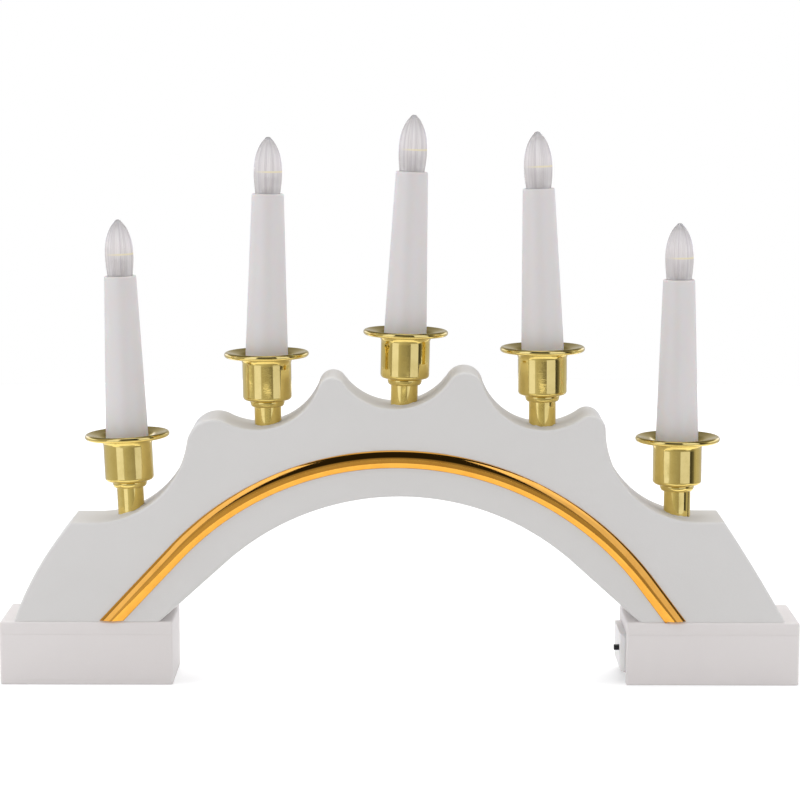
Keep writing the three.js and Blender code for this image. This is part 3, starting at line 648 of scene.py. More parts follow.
def floor():
    """A pale round floor that keeps the shadow and is white where the camera sees it lit."""
    radius = np.linspace(0, FLOOR_RADIUS, 13)[:, None, None]
    angle = np.linspace(0, 2 * math.pi, 64, endpoint=False)[None, :, None]
    grid = np.concatenate([radius * np.cos(angle), radius * np.sin(angle), 0 * radius * angle], -1)
    ground = grid_object("floor", grid, round_columns=True)
    material, tree, out = new_material("floor")
    extra = maths(tree, "MULTIPLY", direct_rays(tree), FLOOR_GLOW)
    speckle = put(tree, "ShaderNodeTexNoise", Scale=60.0, Detail=3.0)
    tone = blended(tree, speckle.outputs["Fac"], *FLOOR_TONES)
    surface(material, tree, out, Base_Color=tone, Roughness=0.9,
            Emission_Color=(1, 1, 1, 1), Emission_Strength=extra)
    ground.data.materials.append(material)
    ground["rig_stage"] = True


floor()
print("floor:", FLOOR_RADIUS, "m in radius")

# %% [markdown]
# ## Finishes
# Some effects show on more than one material: the uneven tone of paint or plastic, the wear along an
# edge, faint smudges on polished metal, and the fine lines that spinning leaves. Each is a node group
# with named values. Every finish then mixes what it needs and keeps its own shader.

# %% Node groups


def effect(name, inputs, outputs):
    """A node group with named inputs (name, default) and outputs, all plain numbers."""
    tree = bpy.data.node_groups.new(name, "ShaderNodeTree")
    for label, default in inputs:
        socket = tree.interface.new_socket(label, in_out="INPUT", socket_type="NodeSocketFloat")
        socket.default_value = default
    for label in outputs:
        tree.interface.new_socket(label, in_out="OUTPUT", socket_type="NodeSocketFloat")
    return tree, tree.nodes.new("NodeGroupInput").outputs, tree.nodes.new("NodeGroupOutput").inputs


def use(tree, group, **values):
    """Places a node group in a material, with its own values, and returns its outputs."""
    made = tree.nodes.new("ShaderNodeGroup")
    made.node_tree = group
    for key, value in values.items():
        socket = made.inputs[key.replace("_", " ")]
        if isinstance(value, bpy.types.NodeSocket):
            tree.links.new(value, socket)
        else:
            socket.default_value = value
    return made.outputs


def object_noise(tree, scale, detail=3.0, roughness=0.5):
    """Noise fixed to the piece, by its place in metres."""
    place = put(tree, "ShaderNodeTexCoord").outputs["Object"]
    noise = put(tree, "ShaderNodeTexNoise", Vector=place, Scale=scale, Detail=detail, Roughness=roughness)
    return noise.outputs["Fac"]


# %% Uneven tone


def mottle_effect():
    """Uneven tone, and the low pebbled height that a roller or a mould leaves."""
    inputs = [("Patch Scale", 30.0), ("Grain Scale", 900.0)]
    tree, given, result = effect("mottle", inputs, ["Tone", "Height"])
    patches = object_noise(tree, given["Patch Scale"], 4.0)
    grain = object_noise(tree, given["Grain Scale"], 2.0)
    tree.links.new(ranged(tree, patches, maths(tree, "MULTIPLY", grain, 0.25), 0.75), result["Tone"])
    tree.links.new(ranged(tree, patches, grain, 0.3), result["Height"])
    return tree


# %% Worn edges
WORN_FROM, WORN_RATE = 0.78, 9.0


def wear_effect():
    """A mask of worn spots: where the edge value is high and a noise agrees."""
    tree, given, result = effect("edge wear", [("Edge", 0.0), ("Scale", 250.0), ("Amount", 0.3)], ["Wear"])
    spots = object_noise(tree, given["Scale"], 5.0, 0.65)
    reach = maths(tree, "MULTIPLY", given["Edge"], given["Amount"])
    over = maths(tree, "SUBTRACT", maths(tree, "ADD", spots, reach), WORN_FROM)
    tree.links.new(maths(tree, "MULTIPLY", over, WORN_RATE, True), result["Wear"])
    return tree


# %% Smudges on metal


def smudge_effect():
    """Soft patches where a polished face is less clear, crossed by finer streaks."""
    tree, given, result = effect("smudges", [("Scale", 90.0), ("Strength", 1.0)], ["Haze"])
    soft = object_noise(tree, given["Scale"], 3.0, 0.6)
    fine = object_noise(tree, maths(tree, "MULTIPLY", given["Scale"], 9.0), 2.0)
    mixed = maths(tree, "MULTIPLY", maths(tree, "SUBTRACT", soft, 0.42), maths(tree, "ADD", fine, 0.6))
    haze = maths(tree, "MULTIPLY", mixed, maths(tree, "MULTIPLY", given["Strength"], 3.0), True)
    tree.links.new(haze, result["Haze"])
    return tree


# %% Tool lines


def line_effect():
    """Fine lines across the second direction of the surface, as a tool leaves in spun metal."""
    tree, given, result = effect("tool lines", [("Lines", 300.0), ("Breaks", 3.0)], ["Height"])
    place = put(tree, "ShaderNodeSeparateXYZ", Vector=put(tree, "ShaderNodeTexCoord").outputs["UV"])
    u = maths(tree, "MULTIPLY", place.outputs["X"], given["Breaks"])
    v = maths(tree, "MULTIPLY", place.outputs["Y"], given["Lines"])
    vector = put(tree, "ShaderNodeCombineXYZ", X=u, Y=v).outputs[0]
    noise = put(tree, "ShaderNodeTexNoise", Vector=vector, Scale=1.0, Detail=2.0).outputs["Fac"]
    tree.links.new(noise, result["Height"])
    return tree


mottle, wear, smudges, tool_lines = mottle_effect(), wear_effect(), smudge_effect(), line_effect()
print("shared effects:", [group.name for group in bpy.data.node_groups])

# %% [markdown]
# ## Paint, brass, plastic and steel
# Each finish is one function, because the real ones differ in kind and not only in colour. Paint and
# plastic scatter light and shine weakly. Brass is all mirror, so its colour tints what it shows. The
# clear caps let half of the light through. Several shaders mixed together could do the same, but one
# Principled shader for each keeps every value where a reader looks for it.

# %% Paint


def bump(tree, height, strength, distance):
    """Normal for a height field."""
    return put(tree, "ShaderNodeBump", Height=height, Strength=strength, Distance=distance).outputs[0]


def painted(name, low, high, worn):
    """Satin brush paint over fibreboard: two near tones, pebbled, a little worn along the edges."""
    material, tree, out = new_material(name)
    film = use(tree, mottle, Patch_Scale=26.0, Grain_Scale=1100.0)
    spots = use(tree, wear, Edge=stored(tree, "edge"), Scale=420.0, Amount=0.08)
    tone = blended(tree, film["Tone"], low, high)
    return surface(material, tree, out, Base_Color=blended(tree, spots["Wear"], tone, worn),
                   Roughness=ranged(tree, film["Tone"], 0.38, 0.16),
                   Normal=bump(tree, film["Height"], 0.22, 0.0002), Specular_IOR_Level=0.25)


# %% Brass


def polished(name, colour, deep, roughness, lines, breaks, haze=0.12):
    """Lacquered brass: a mirror with a slight haze, fine tool lines and deeper tone in patches."""
    material, tree, out = new_material(name)
    patch = use(tree, smudges, Scale=120.0, Strength=1.0)["Haze"]
    height = use(tree, tool_lines, Lines=lines, Breaks=breaks)["Height"]
    return surface(material, tree, out, Base_Color=blended(tree, patch, colour, deep), Metallic=1.0,
                   Roughness=ranged(tree, patch, roughness, haze),
                   Normal=bump(tree, height, 0.05, 0.0001))


# %% Plastic


def moulded(name, low, high, roughness=0.4, height=0.12, glow_through=0.0, grain=1500.0, gloss=0.5):
    """Moulded plastic: two near tones, a fine mould texture, and some light inside where it is thin."""
    material, tree, out = new_material(name)
    skin = use(tree, mottle, Patch_Scale=40.0, Grain_Scale=grain)
    return surface(material, tree, out, Base_Color=blended(tree, skin["Tone"], low, high),
                   Roughness=ranged(tree, skin["Tone"], roughness - 0.07, 0.14),
                   Normal=bump(tree, skin["Height"], height, 0.0001), Subsurface_Weight=glow_through,
                   Subsurface_Scale=0.004, Specular_IOR_Level=gloss)


def clear_plastic(name, ridge, flute_shade, height_shade, warm):
    """Frosted clear cap: it lets light through and scatters some, and its colour holds painted light.

    The mesh stores a painted shade that is darker in the flutes, a painted shade that makes the foot
    and tip greyer, and a warm painted highlight along the line where the hollow for the lamp ends.
    """
    material, tree, out = new_material(name)
    patch = use(tree, smudges, Scale=300.0, Strength=1.0)["Haze"]
    # Painted shade in the flutes and at the foot and tip, then the warm painted highlight line.
    tone = blended(tree, stored(tree, "flute_shade"), ridge, flute_shade)
    tone = blended(tree, stored(tree, "height_shade"), tone, height_shade)
    tone = blended(tree, stored(tree, "warm"), tone, warm)
    return surface(material, tree, out, Base_Color=tone, Roughness=ranged(tree, patch, 0.14, 0.10),
                   IOR=1.49, Transmission_Weight=0.5)


# %% Steel


def bare_metal(name, low, high):
    """Plated steel of small parts."""
    material, tree, out = new_material(name)
    skin = use(tree, mottle, Patch_Scale=200.0, Grain_Scale=3000.0)
    return surface(material, tree, out, Base_Color=blended(tree, skin["Tone"], low, high), Metallic=1.0,
                   Roughness=ranged(tree, skin["Tone"], 0.2, 0.2),
                   Normal=bump(tree, skin["Height"], 0.1, 0.0001))


# %% All finishes
finishes = {
    "board_paint": painted("board_paint", (0.650, 0.637, 0.626, 1), (0.692, 0.680, 0.669, 1),
                           (0.80, 0.78, 0.74, 1)),
    # Partly the blocks' own lighter white, mostly painted light: a lighter copy of the board's paint that
    # makes up for the light the blocks get.
    "block_paint_lightened": painted("block_paint_lightened", (0.710, 0.672, 0.662, 1), (0.757, 0.722, 0.714, 1),
                           (0.80, 0.77, 0.74, 1)),
    "brass": polished("brass", (0.83, 0.635, 0.195, 1), (0.76, 0.57, 0.162, 1), 0.04, 420.0, 5.0),
    "stem_brass": polished("stem_brass", (0.88, 0.67, 0.195, 1), (0.79, 0.58, 0.155, 1), 0.06, 4.0, 160.0,
                           0.15),
    "gold_strip": polished("gold_strip", (0.91, 0.445, 0.072, 1), (0.85, 0.40, 0.06, 1), 0.05, 4.0, 60.0,
                           0.08),
    "candle": moulded("candle", (0.658, 0.630, 0.624, 1), (0.694, 0.665, 0.659, 1), 0.42, 0.10, 0.25),
    # Clear caps: ridge colour, painted flute shade, painted foot-and-tip shade, warm painted highlight.
    "clear": clear_plastic("clear", (0.97, 0.925, 0.92, 1), (0.68, 0.645, 0.645, 1), (0.56, 0.56, 0.57, 1),
                           (1.0, 0.90, 0.62, 1)),
    "lamp": moulded("lamp", (0.85, 0.74, 0.52, 1), (0.92, 0.80, 0.58, 1), 0.2),
    "case": moulded("case", (0.72, 0.70, 0.695, 1), (0.78, 0.76, 0.755, 1), 0.35, 0.10, 0.1),
    "black": moulded("black", (0.010, 0.010, 0.011, 1), (0.022, 0.022, 0.024, 1), 0.45, 0.3, 0.0, 4000.0,
                     0.2),
    "sleeve": moulded("sleeve", (0.04, 0.13, 0.06, 1), (0.06, 0.19, 0.09, 1), 0.3, 0.05, 0.0, 900.0),
    "steel": bare_metal("steel", (0.42, 0.42, 0.43, 1), (0.60, 0.60, 0.62, 1)),
    "cable": moulded("cable", (0.70, 0.70, 0.67, 1), (0.78, 0.78, 0.75, 1), 0.4),
}
print(f"{len(finishes)} finishes")

# %% Giving a piece its finish


def finish_piece(piece, node, finish, also=()):
    """Gives a piece its finish and its body, and lets it stand for its node, and for any others."""
    piece.data.materials.clear()
    piece.data.materials.append(finishes[finish])
    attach(piece, nodes[node]["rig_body"])
    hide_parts(node, *also)
    return piece


def mark_edges(piece, turning):
    """Stores how far the surface turns at each vertex, which turning works out from the normals."""
    store(piece, "edge", turning(rows_of(piece, "normal")))


def off_axis(normals):
    """How far a normal is from the nearest of the three axes: 0 on a flat face, 1 on a rounded edge."""
    return np.clip((1 - np.abs(normals).max(1)) / 0.29, 0, 1)


def between_faces(normals):
    """0 on a board's faces and on its outline, 1 half-way round the edge between them."""
    facing = np.abs(normals[:, 1])
    return np.clip(4 * facing * (1 - facing), 0, 1)


# %% [markdown]
# ## The arch board
# The board is sawn by hand from one thick sheet, so no two of its five round valleys and four horns
# are alike, and the opening is an arc with straight legs. It could be drawn as a curve object, but
# circles that touch join smoothly by themselves, and a few of them give every point: a horn is a
# circle that touches the two valley circles beside it.

# %% Sizes of the board
OPENING = {"rise": 63.0, "radius": 129.1, "half": math.radians(42)}
STRIP_LEFT = {"rise": 82.0, "radius": 149.9, "half": math.radians(46.8)}
STRIP_RIGHT = {"rise": 82.0, "radius": 156.5, "half": math.radians(53.0)}
HOLDER_SPACING = 68.8
# Each valley's shift from its even place, the height of its lowest point, and its radius.
VALLEYS = [(-14.5, 49.9, 47.1), (-2.1, 96.6, 32.6), (-2.3, 107.0, 32.2), (2.7, 96.6, 31.9),
           (10.9, 50.6, 46.7)]
HORNS = [13.6, 7.0, 9.5, 7.4]
# On the left and on the right: how far the shoulder is flat, and the radius of the flank below it.
SHOULDERS = {-1: (11.6, 156.0), 1: (12.8, 750.0)}
FOOT_DROP = 0.28
OPENING_STEPS, FLANK_STEPS, END_VALLEY_STEPS, VALLEY_STEPS, HORN_STEPS = 96, 10, 36, 56, 20

board_low, board_high = (corner / MM for corner in span("arch_board"))
FOOT_Z = board_low[2]
FOOT_HALF = board_high[0]
CENTRES = np.array([[(k - 2) * HOLDER_SPACING + shift, rise + radius]
                    for k, (shift, rise, radius) in enumerate(VALLEYS)])


# %% Arch lines


def leg_x(line, offset, z):
    """X of the right leg of an arch line, at a distance outside it and a height above the feet."""
    bend = line["radius"] + offset
    bend_z = line["rise"] - line["radius"] + bend * math.cos(line["half"])
    return bend * math.sin(line["half"]) + (bend_z - z) / math.tan(line["half"])


def line_path(line, offset, end_drop, steps):
    """An arch line from its right foot to its left one, in X and Z above the feet."""
    centre = (0, line["rise"] - line["radius"])
    bend, half = line["radius"] + offset, line["half"]
    top = arc(centre, bend, math.pi / 2 - half, math.pi / 2 + half, steps)
    foot = leg_x(line, offset, -end_drop)
    return np.concatenate([[[foot, -end_drop]], top, [[-foot, -end_drop]]])


# %% Valleys, horns and flanks


def angle_to(start, end):
    """The angle of the line from one point to another."""
    return math.atan2(end[1] - start[1], end[0] - start[0])


def horn_centre(k):
    """Centre of the circle of horn k, which touches valleys k and k + 1 from below."""
    left, right = CENTRES[k], CENTRES[k + 1]
    step = right - left
    gap = np.linalg.norm(step)
    to_left, to_right = VALLEYS[k][2] + HORNS[k], VALLEYS[k + 1][2] + HORNS[k]
    along = (gap * gap + to_left * to_left - to_right * to_right) / (2 * gap)
    below = math.sqrt(to_left * to_left - along * along)
    return left + (step * along + np.array([step[1], -step[0]]) * below) / gap


def flank(side):
    """The bulging flank from a shoulder down to the foot, on the right for side 1."""
    flat, radius = SHOULDERS[side]
    k = 4 if side > 0 else 0
    start, foot = np.array([side * CENTRES[k][0] + flat, VALLEYS[k][1]]), np.array([FOOT_HALF, -FOOT_DROP])
    half = np.linalg.norm(foot - start) / 2
    out = np.array([foot[1] - start[1], start[0] - foot[0]]) / (2 * half)
    centre = (start + foot) / 2 + out * math.sqrt(radius * radius - half * half)
    return arc(centre, radius, angle_to(centre, start), angle_to(centre, foot), FLANK_STEPS) * [side, 1]


def top_edge():
    """The top edge from the left foot over the valleys and horns to the right foot."""
    parts = [flank(-1)[::-1]]
    for k, (_, _, radius) in enumerate(VALLEYS):
        start = end = -math.pi / 2
        if k > 0:
            start = angle_to(CENTRES[k], horn_centre(k - 1))
            start -= 2 * math.pi if start > 0 else 0
        if k < 4:
            end = angle_to(CENTRES[k], horn_centre(k))
        parts.append(arc(CENTRES[k], radius, start, end, VALLEY_STEPS if 0 < k < 4 else END_VALLEY_STEPS))
        if k < 4:
            horn = horn_centre(k)
            left, right = angle_to(horn, CENTRES[k]), angle_to(horn, CENTRES[k + 1])
            left += 2 * math.pi if left < -math.pi / 2 else 0
            parts.append(arc(horn, HORNS[k], left, right, HORN_STEPS)[1:-1])
    return np.concatenate([*parts, flank(1)])


# %% The whole outline


def board_outline():
    """The whole outline, anticlockwise as seen from the front, in millimetres."""
    clockwise = np.concatenate([top_edge(), line_path(OPENING, 0, FOOT_DROP, OPENING_STEPS)])
    return clockwise[::-1] + [0, FOOT_Z]


outline = board_outline()
print(f"board outline: {len(outline)} points")

# %% Ribbons along an arch line


def ribbon(name, section, path, sharp=35):
    """A closed section of (across, y) carried along a path in X and Z, its ends cut level.

    Across points to the left of the path; at a bend it is stretched to keep its width.
    """
    ahead = np.diff(path, axis=0)
    ahead /= np.linalg.norm(ahead, axis=1)[:, None]
    arrive, leave = np.concatenate([ahead[:1], ahead]), np.concatenate([ahead, ahead[-1:]])
    along = arrive + leave
    along /= np.linalg.norm(along, axis=1)[:, None]
    stretch = 1 / (along * leave).sum(1)
    side = np.stack([-along[:, 1], along[:, 0]], 1) * stretch[:, None]
    side[0], side[-1] = [-1 / along[0, 1], 0], [-1 / along[-1, 1], 0]
    flat = path[:, None] + side[:, None] * section[None, :, :1]
    depth = np.broadcast_to(section[None, :, 1], flat.shape[:2])
    grid = MM * np.stack([flat[..., 0], depth, flat[..., 1]], -1)
    return grid_object(name, grid, round_columns=True, caps=True, sharp=sharp)


def fine_path(line, offset, end_drop, steps=96, legs=12):
    """An arch line with its straight legs divided, raised to the board's feet."""
    path = line_path(line, offset, end_drop, steps) + [0, FOOT_Z]
    shares = np.linspace(0, 1, legs, endpoint=False)[:, None]
    first = path[0] + shares * (path[1] - path[0])
    last = path[-2] + (shares[1:] * (path[-1] - path[-2]))
    return np.concatenate([first, path[1:-1], last, path[-1:]])


# %% [markdown]
# ## Torn paint round the stems
# The paint is torn up in a ragged ring where each stem goes into the board. Sculpting could make it,
# but only once. A low wedge whose width and height follow a sum of random waves gives each stem a
# ring of its own, and the same one on every run.

# %% Torn paint
# Mean, wander, least and most of its width and height.
BURR_WIDTH = (0.75, 0.55, 0.15, 2.2)
BURR_HEIGHT = (0.32, 0.22, 0.08, 0.9)
BURR_WAVES = (2, 3, 5, 8, 13, 21)
BURR_SUNK = 0.25


def top_z(k, x):
    """Height of the board's top edge over valley k, from its circle, or flat on a shoulder."""
    across = x - CENTRES[k][0]
    if k in (0, 4):
        across = np.where(across * (k - 2) > 0, 0, across)
    return FOOT_Z + CENTRES[k][1] - np.sqrt(VALLEYS[k][2] ** 2 - across**2)


def random_waves(seed, angle, counts, fall=0.0):
    """A sum of waves round a circle, one for each count n.

    Their places are random, and so are their heights, of about 1 / n^fall.
    """
    random = np.random.default_rng(seed)
    return sum(random.normal(0, 1 / n**fall) * np.cos(n * angle + random.uniform(0, 6.3)) for n in counts)


def paint_burr(k):
    """The ragged ring of torn paint round a stem: a low wedge whose width and height wander.

    At each angle the wedge runs from the stem outwards; both its sizes follow one sum of waves.
    """
    foot, axis, _ = axis_of(f"stem_{k + 1}")
    radius = half_depth(f"stem_{k + 1}") + 0.02
    angle = np.linspace(0, 2 * math.pi, 160, endpoint=False)
    waves = random_waves(70 + k, angle, BURR_WAVES, 0.5)
    width, height = (np.clip(mean + wander * waves, least, most)
                     for mean, wander, least, most in (BURR_WIDTH, BURR_HEIGHT))
    centre = foot / MM + axis * ((top_z(k, foot[0] / MM) - foot[2] / MM) / axis[2])
    rows = []
    for out, up in ((0, height), (width, 0.05 + 0 * angle), (0, -BURR_SUNK + 0 * angle)):
        x, y = centre[0] + (radius + out) * np.cos(angle), centre[1] + (radius + out) * np.sin(angle)
        rows.append(np.stack([x, y, top_z(k, x) + up], -1))
    return grid_object(f"burr_{k}", MM * np.stack(rows), round_rows=True, round_columns=True, sharp=60)


# %% Board
HOLDERS = range(1, 6)
BOARD_EDGE = 1.2
CHANNEL_INSET = 22.0
CHANNEL_WIDTH = 8.0
COVER_THICKNESS = 2.5
COVER_SPARE = 0.4
HOLE_CLEARANCE = 0.3
HOLE_DEPTH = 40
PAST = 2


def join(piece, others):
    """Adds the meshes of other pieces to one piece."""
    work = bmesh.new()
    work.from_mesh(piece.data)
    for other in others:
        work.from_mesh(other.data)
        bpy.data.objects.remove(other)
    work.to_mesh(piece.data)
    work.free()
    shade(piece)


def arch_board():
    """The board with its stem holes, the torn paint round them and the channel in its back."""
    board = slab("arch_board_painted", outline, board_low[1], board_high[1], BOARD_EDGE)
    back, half = board_high[1], CHANNEL_WIDTH / 2
    bottom = back - COVER_THICKNESS - COVER_SPARE
    section = np.array([[-half, bottom], [half, bottom], [half, back + PAST], [-half, back + PAST]])
    cut(board, ribbon("channel", section, fine_path(OPENING, CHANNEL_INSET, PAST)))
    for k in HOLDERS:
        foot, axis, _ = axis_of(f"stem_{k}")
        radius = half_depth(f"stem_{k}") + HOLE_CLEARANCE
        profile = np.array([[0, 0], [radius, 0], [radius, HOLE_DEPTH], [0, HOLE_DEPTH]])
        cut(board, turned("hole", profile, foot, axis, around=48))
    join(board, [paint_burr(k) for k in range(5)])
    mark_edges(board, between_faces)
    return finish_piece(board, "arch_board", "board_paint")


board = arch_board()
print(f"board: {len(board.data.polygons)} faces")

# %% [markdown]
# ## The channel cover
# The wires lie in a channel in the board's back, which a thin strip closes. It could be cut out of the
# board's own mesh, but a ribbon along the same path needs no cutting, and the small gap beside it
# shows as a true hair line.

# %% Channel cover
COVER_GAP = 0.12


def channel_cover():
    """A thin strip glued into the channel, flush with the back."""
    back, half = board_high[1], CHANNEL_WIDTH / 2 - COVER_GAP
    front = back - COVER_THICKNESS
    section = rounded([(0, front, 0), (half, front, 0.1), (half, back, 0.35), (-half, back, 0.35),
                       (-half, front, 0.1), (0, front, 0)], 4)[:-1]
    cover = ribbon("channel_cover_painted", section, fine_path(OPENING, CHANNEL_INSET, 0))
    mark_edges(cover, between_faces)
    return finish_piece(cover, "channel_cover", "board_paint")


cover = channel_cover()
print(f"channel cover: {len(cover.data.polygons)} faces")

# %% [markdown]
# ## The gold strip
# A half-round strip with a mirror finish follows the opening a little way outside it and stands on
# the block tops. A bevelled curve object could make it, but its ends would be square to the path and
# not level. So its section, a low arc between two thin edges, is carried along its own arch line, and
# its round face mirrors the room and the sheets as long bright and dark bands.

# %% Gold strip
STRIP_SHIFT = -2.2
STRIP_WIDTH = 8.8
STRIP_CROWN = 2.1
STRIP_EDGE = 0.35
STRIP_GLUE = 0.02
STRIP_LIFT = 0.3
STRIP_STEPS = 144


def gold_strip():
    """The strip's face is an arc through both edges; its radius follows from width and crown."""
    half = STRIP_WIDTH / 2
    rise = STRIP_CROWN - STRIP_EDGE
    radius = (half * half + rise * rise) / (2 * rise)
    reach = math.asin(half / radius)
    turn = np.linspace(-reach, reach, 33)
    back = board_low[1] + STRIP_GLUE
    crown = board_low[1] - STRIP_CROWN
    face = np.stack([radius * np.sin(turn), crown + radius * (1 - np.cos(turn))], 1)
    section = np.concatenate([[[half, back], [-half, back]], face])
    right, left = (fine_path(line, 0, -STRIP_LIFT, STRIP_STEPS) for line in (STRIP_RIGHT, STRIP_LEFT))
    half_way = len(right) // 2
    path = np.concatenate([right[:half_way], left[half_way:]]) + [STRIP_SHIFT, 0]
    strip = ribbon("gold_strip_moulding", section[::-1], path, 50)
    return finish_piece(strip, "gold_strip", "gold_strip")


strip = gold_strip()
print(f"gold strip: {len(strip.data.polygons)} faces")

# %% [markdown]
# ## The hollow blocks
# Each block is a top plate on front, back and end plates, all painted together, so the joints show
# only as hair lines. A Bevel modifier would round all edges alike. A plate here is a stack of rounded
# rectangles: its corners and its upper and lower edges have their own radii, larger where the plate
# meets the air and small where it meets another.

# %% Plates


def plate(name, low, high, corner_radii, top_edge, bottom_edge, steps=5):
    """A box whose four upright corners and two rims are rounded, in millimetres.

    A row at an inset e has corners of radius max(r - e, 0) about a centre max(r, e) from both sides.
    corner_radii start at low X, low Y and go anticlockwise.
    """
    turn = np.linspace(0, math.pi / 2, steps + 1)
    lower = np.stack([bottom_edge * (1 - np.sin(turn)), low[2] + bottom_edge * (1 - np.cos(turn))], 1)
    upper = np.stack([top_edge * (1 - np.sin(turn)), high[2] - top_edge * (1 - np.cos(turn))], 1)[::-1]
    rows = np.concatenate([[[bottom_edge + 0.5, low[2]]], lower, upper, [[top_edge + 0.5, high[2]]]])
    rings = []
    for inset, z in rows:
        ring = []
        for k, radius in enumerate(corner_radii):
            right, back = k in (1, 2), k in (2, 3)
            hold, bend = max(radius, inset), max(radius - inset, 0)
            centre = (high[0] - hold if right else low[0] + hold, high[1] - hold if back else low[1] + hold)
            start = math.pi + k * math.pi / 2
            around = arc(centre, bend, start, start + math.pi / 2, 6)
            ring.append(np.column_stack([around, np.full(len(around), z)]))
        rings.append(np.concatenate(ring))
    return grid_object(name, MM * np.stack(rings), round_columns=True, caps=True, sharp=40)


# %% Blocks
AIR_EDGE = 1.1
JOINT_EDGE = 0.12
FOOT_EDGE = 0.6
JOINT_GROW = 0.145


def block_plate(node, corners, top_edge, bottom_edge, grow):
    """The painted plate of a node; grow = (low, high) steps that close the joints to a hair line."""
    low, high = (corner / MM for corner in span(node))
    low, high = low - np.array(grow[0]), high + np.array(grow[1])
    made = plate(f"{node}_painted", low, high, corners, top_edge, bottom_edge)
    mark_edges(made, off_axis)
    return finish_piece(made, node, "block_paint_lightened")


def block(side, ends):
    """All plates of one block. The upright corners that meet the air are rounded, the others not."""
    a, j, g = AIR_EDGE, JOINT_EDGE, JOINT_GROW
    block_plate(f"{side}_top_plate", (a, a, a, a), a, j, ((0, 0, g), (0, 0, 0)))
    block_plate(f"{side}_front_plate", (a, a, j, j), j, FOOT_EDGE, ((0, 0, 0), (0, g, g)))
    block_plate(f"{side}_back_plate", (j, j, a, a), j, FOOT_EDGE, ((0, g, 0), (0, 0, g)))
    for end in ends:
        block_plate(f"{side}_{end}_end", (j, j, j, j), j, FOOT_EDGE, ((0, g, 0), (0, g, g)))


block("left", ("outer", "inner"))
block("right", ("outer",))
print("blocks made")

# %% [markdown]
# ## The brass cups
# A cup is spun from sheet brass over a form, so every cross-section is round. A cylinder pulled and
# squeezed ring by ring could come close, but a profile turned about the cup's axis has each radius as
# a number. The axis comes from the node, because the cups lean a little.

# %% Cups
RIM = 21.15
LIP = 1.35
FLARE = math.radians(17)
COVE = 4.8
CUP = 12.2
CUP_WALL = 0.8
CUP_DEPTH = 22.9
CUP_EDGE = 1.9
COLLAR = 8.6
COLLAR_HEIGHT = 3.4
COLLAR_NECK = 0.6
WAIST = 0.35
MOUTH_WALL = 0.35
FOOT_GAP = 0.15
SOCKET = 7.05
CUP_HOLE = 3.0


def cup_profile():
    """Half section of a cup in millimetres, its heights below the rim, closed on itself.

    The sheet runs up a collar that swells like a quarter of an ellipse, up the cup, and over a cove
    into a flange that rises at the flare's angle. There its top face touches the round lip.
    """
    low = -CUP_DEPTH - COLLAR_HEIGHT + FOOT_GAP
    inside, floor_z = CUP - CUP_WALL, CUP_WALL - CUP_DEPTH
    rise, across, slope = math.sin(FLARE), math.cos(FLARE), math.tan(FLARE)
    dish = LIP * across - (RIM - LIP - LIP * rise - inside) * slope
    below = dish + CUP_WALL * slope - CUP_WALL / across
    swell, mouth = np.linspace(0, math.pi / 2, 9), SOCKET + MOUTH_WALL
    collar = np.stack([mouth + (COLLAR - mouth) * np.sin(swell),
                       low + (COLLAR_HEIGHT - FOOT_GAP - COLLAR_NECK) * (1 - np.cos(swell))], 1)
    meet = math.sqrt(LIP**2 - (LIP - CUP_WALL)**2)
    joint = (RIM - LIP - (LIP - CUP_WALL) * rise - meet * across, (LIP - CUP_WALL) * across - meet * rise)
    outer = rounded([(COLLAR, -CUP_DEPTH - COLLAR_NECK, 0), (COLLAR - WAIST, -CUP_DEPTH, 0.25),
                     (CUP, -CUP_DEPTH, CUP_EDGE), (CUP, below, COVE), (*joint, 0)], 8)
    start = math.atan2(joint[1], joint[0] - RIM + LIP) % (2 * math.pi) - 2 * math.pi
    lip = arc((RIM - LIP, 0), LIP, start + 0.1, math.pi / 2 + FLARE, 28)
    inner = rounded([(*lip[-1], 0), (inside, dish, COVE + CUP_WALL), (inside, floor_z, 1.2),
                     (CUP_HOLE, floor_z, 0.2), (CUP_HOLE, -CUP_DEPTH, 0.2), (SOCKET, -CUP_DEPTH, 0.1),
                     (SOCKET, low, 0)], 8)
    return supported(np.concatenate([collar, outer, lip[:-1], inner]))[:-1]


def cup(k):
    """Cup number k on its node's axis, its collar's foot at the node's foot."""
    foot, axis, length = axis_of(f"cup_{k}")
    rim = foot + axis * MM * (CUP_DEPTH + COLLAR_HEIGHT)
    made = turned(f"cup_{k}_spun", cup_profile(), rim, axis, around=112, closed=True)
    finish_piece(made, f"cup_{k}", "brass")
    return length


print("cup height in the construction:", [round(cup(k), 2) for k in HOLDERS])

# %% [markdown]
# ## The stems
# A stem is a tube rolled from sheet, and its seam stays open as a thin dark line. A groove cut into a
# cylinder would show the line, but not both edges of the wall, so the section is an open ring from
# the start, and the grid carries it up the tube.

# %% Stems
STEM_WALL = 0.7
SEAM_HALF = 0.4
SEAM_ANGLES = [100, 80, 110, 95, -40]


def stem(k):
    """A rolled tube: an outer arc and an inner arc, joined across both edges of the seam."""
    foot, axis, length = axis_of(f"stem_{k}")
    side, other = across_from(axis)
    outer = half_depth(f"stem_{k}")
    inner = outer - STEM_WALL
    open_half = SEAM_HALF / outer
    start = math.radians(SEAM_ANGLES[k - 1]) + open_half
    end = start + 2 * math.pi - 2 * open_half
    section = np.concatenate([arc((0, 0), outer, start, end, 80), arc((0, 0), inner, end, start, 80)])
    heights = np.linspace(0, length, 16)
    ring = section[:, :1] * side + section[:, 1:] * other
    grid = foot + MM * (heights[:, None, None] * axis + ring[None])
    made = grid_object(f"stem_{k}_rolled", grid, round_columns=True, caps=True)
    return finish_piece(made, f"stem_{k}", "stem_brass")


for k in HOLDERS:
    stem(k)
print("stems made, with their seams at", SEAM_ANGLES, "degrees")

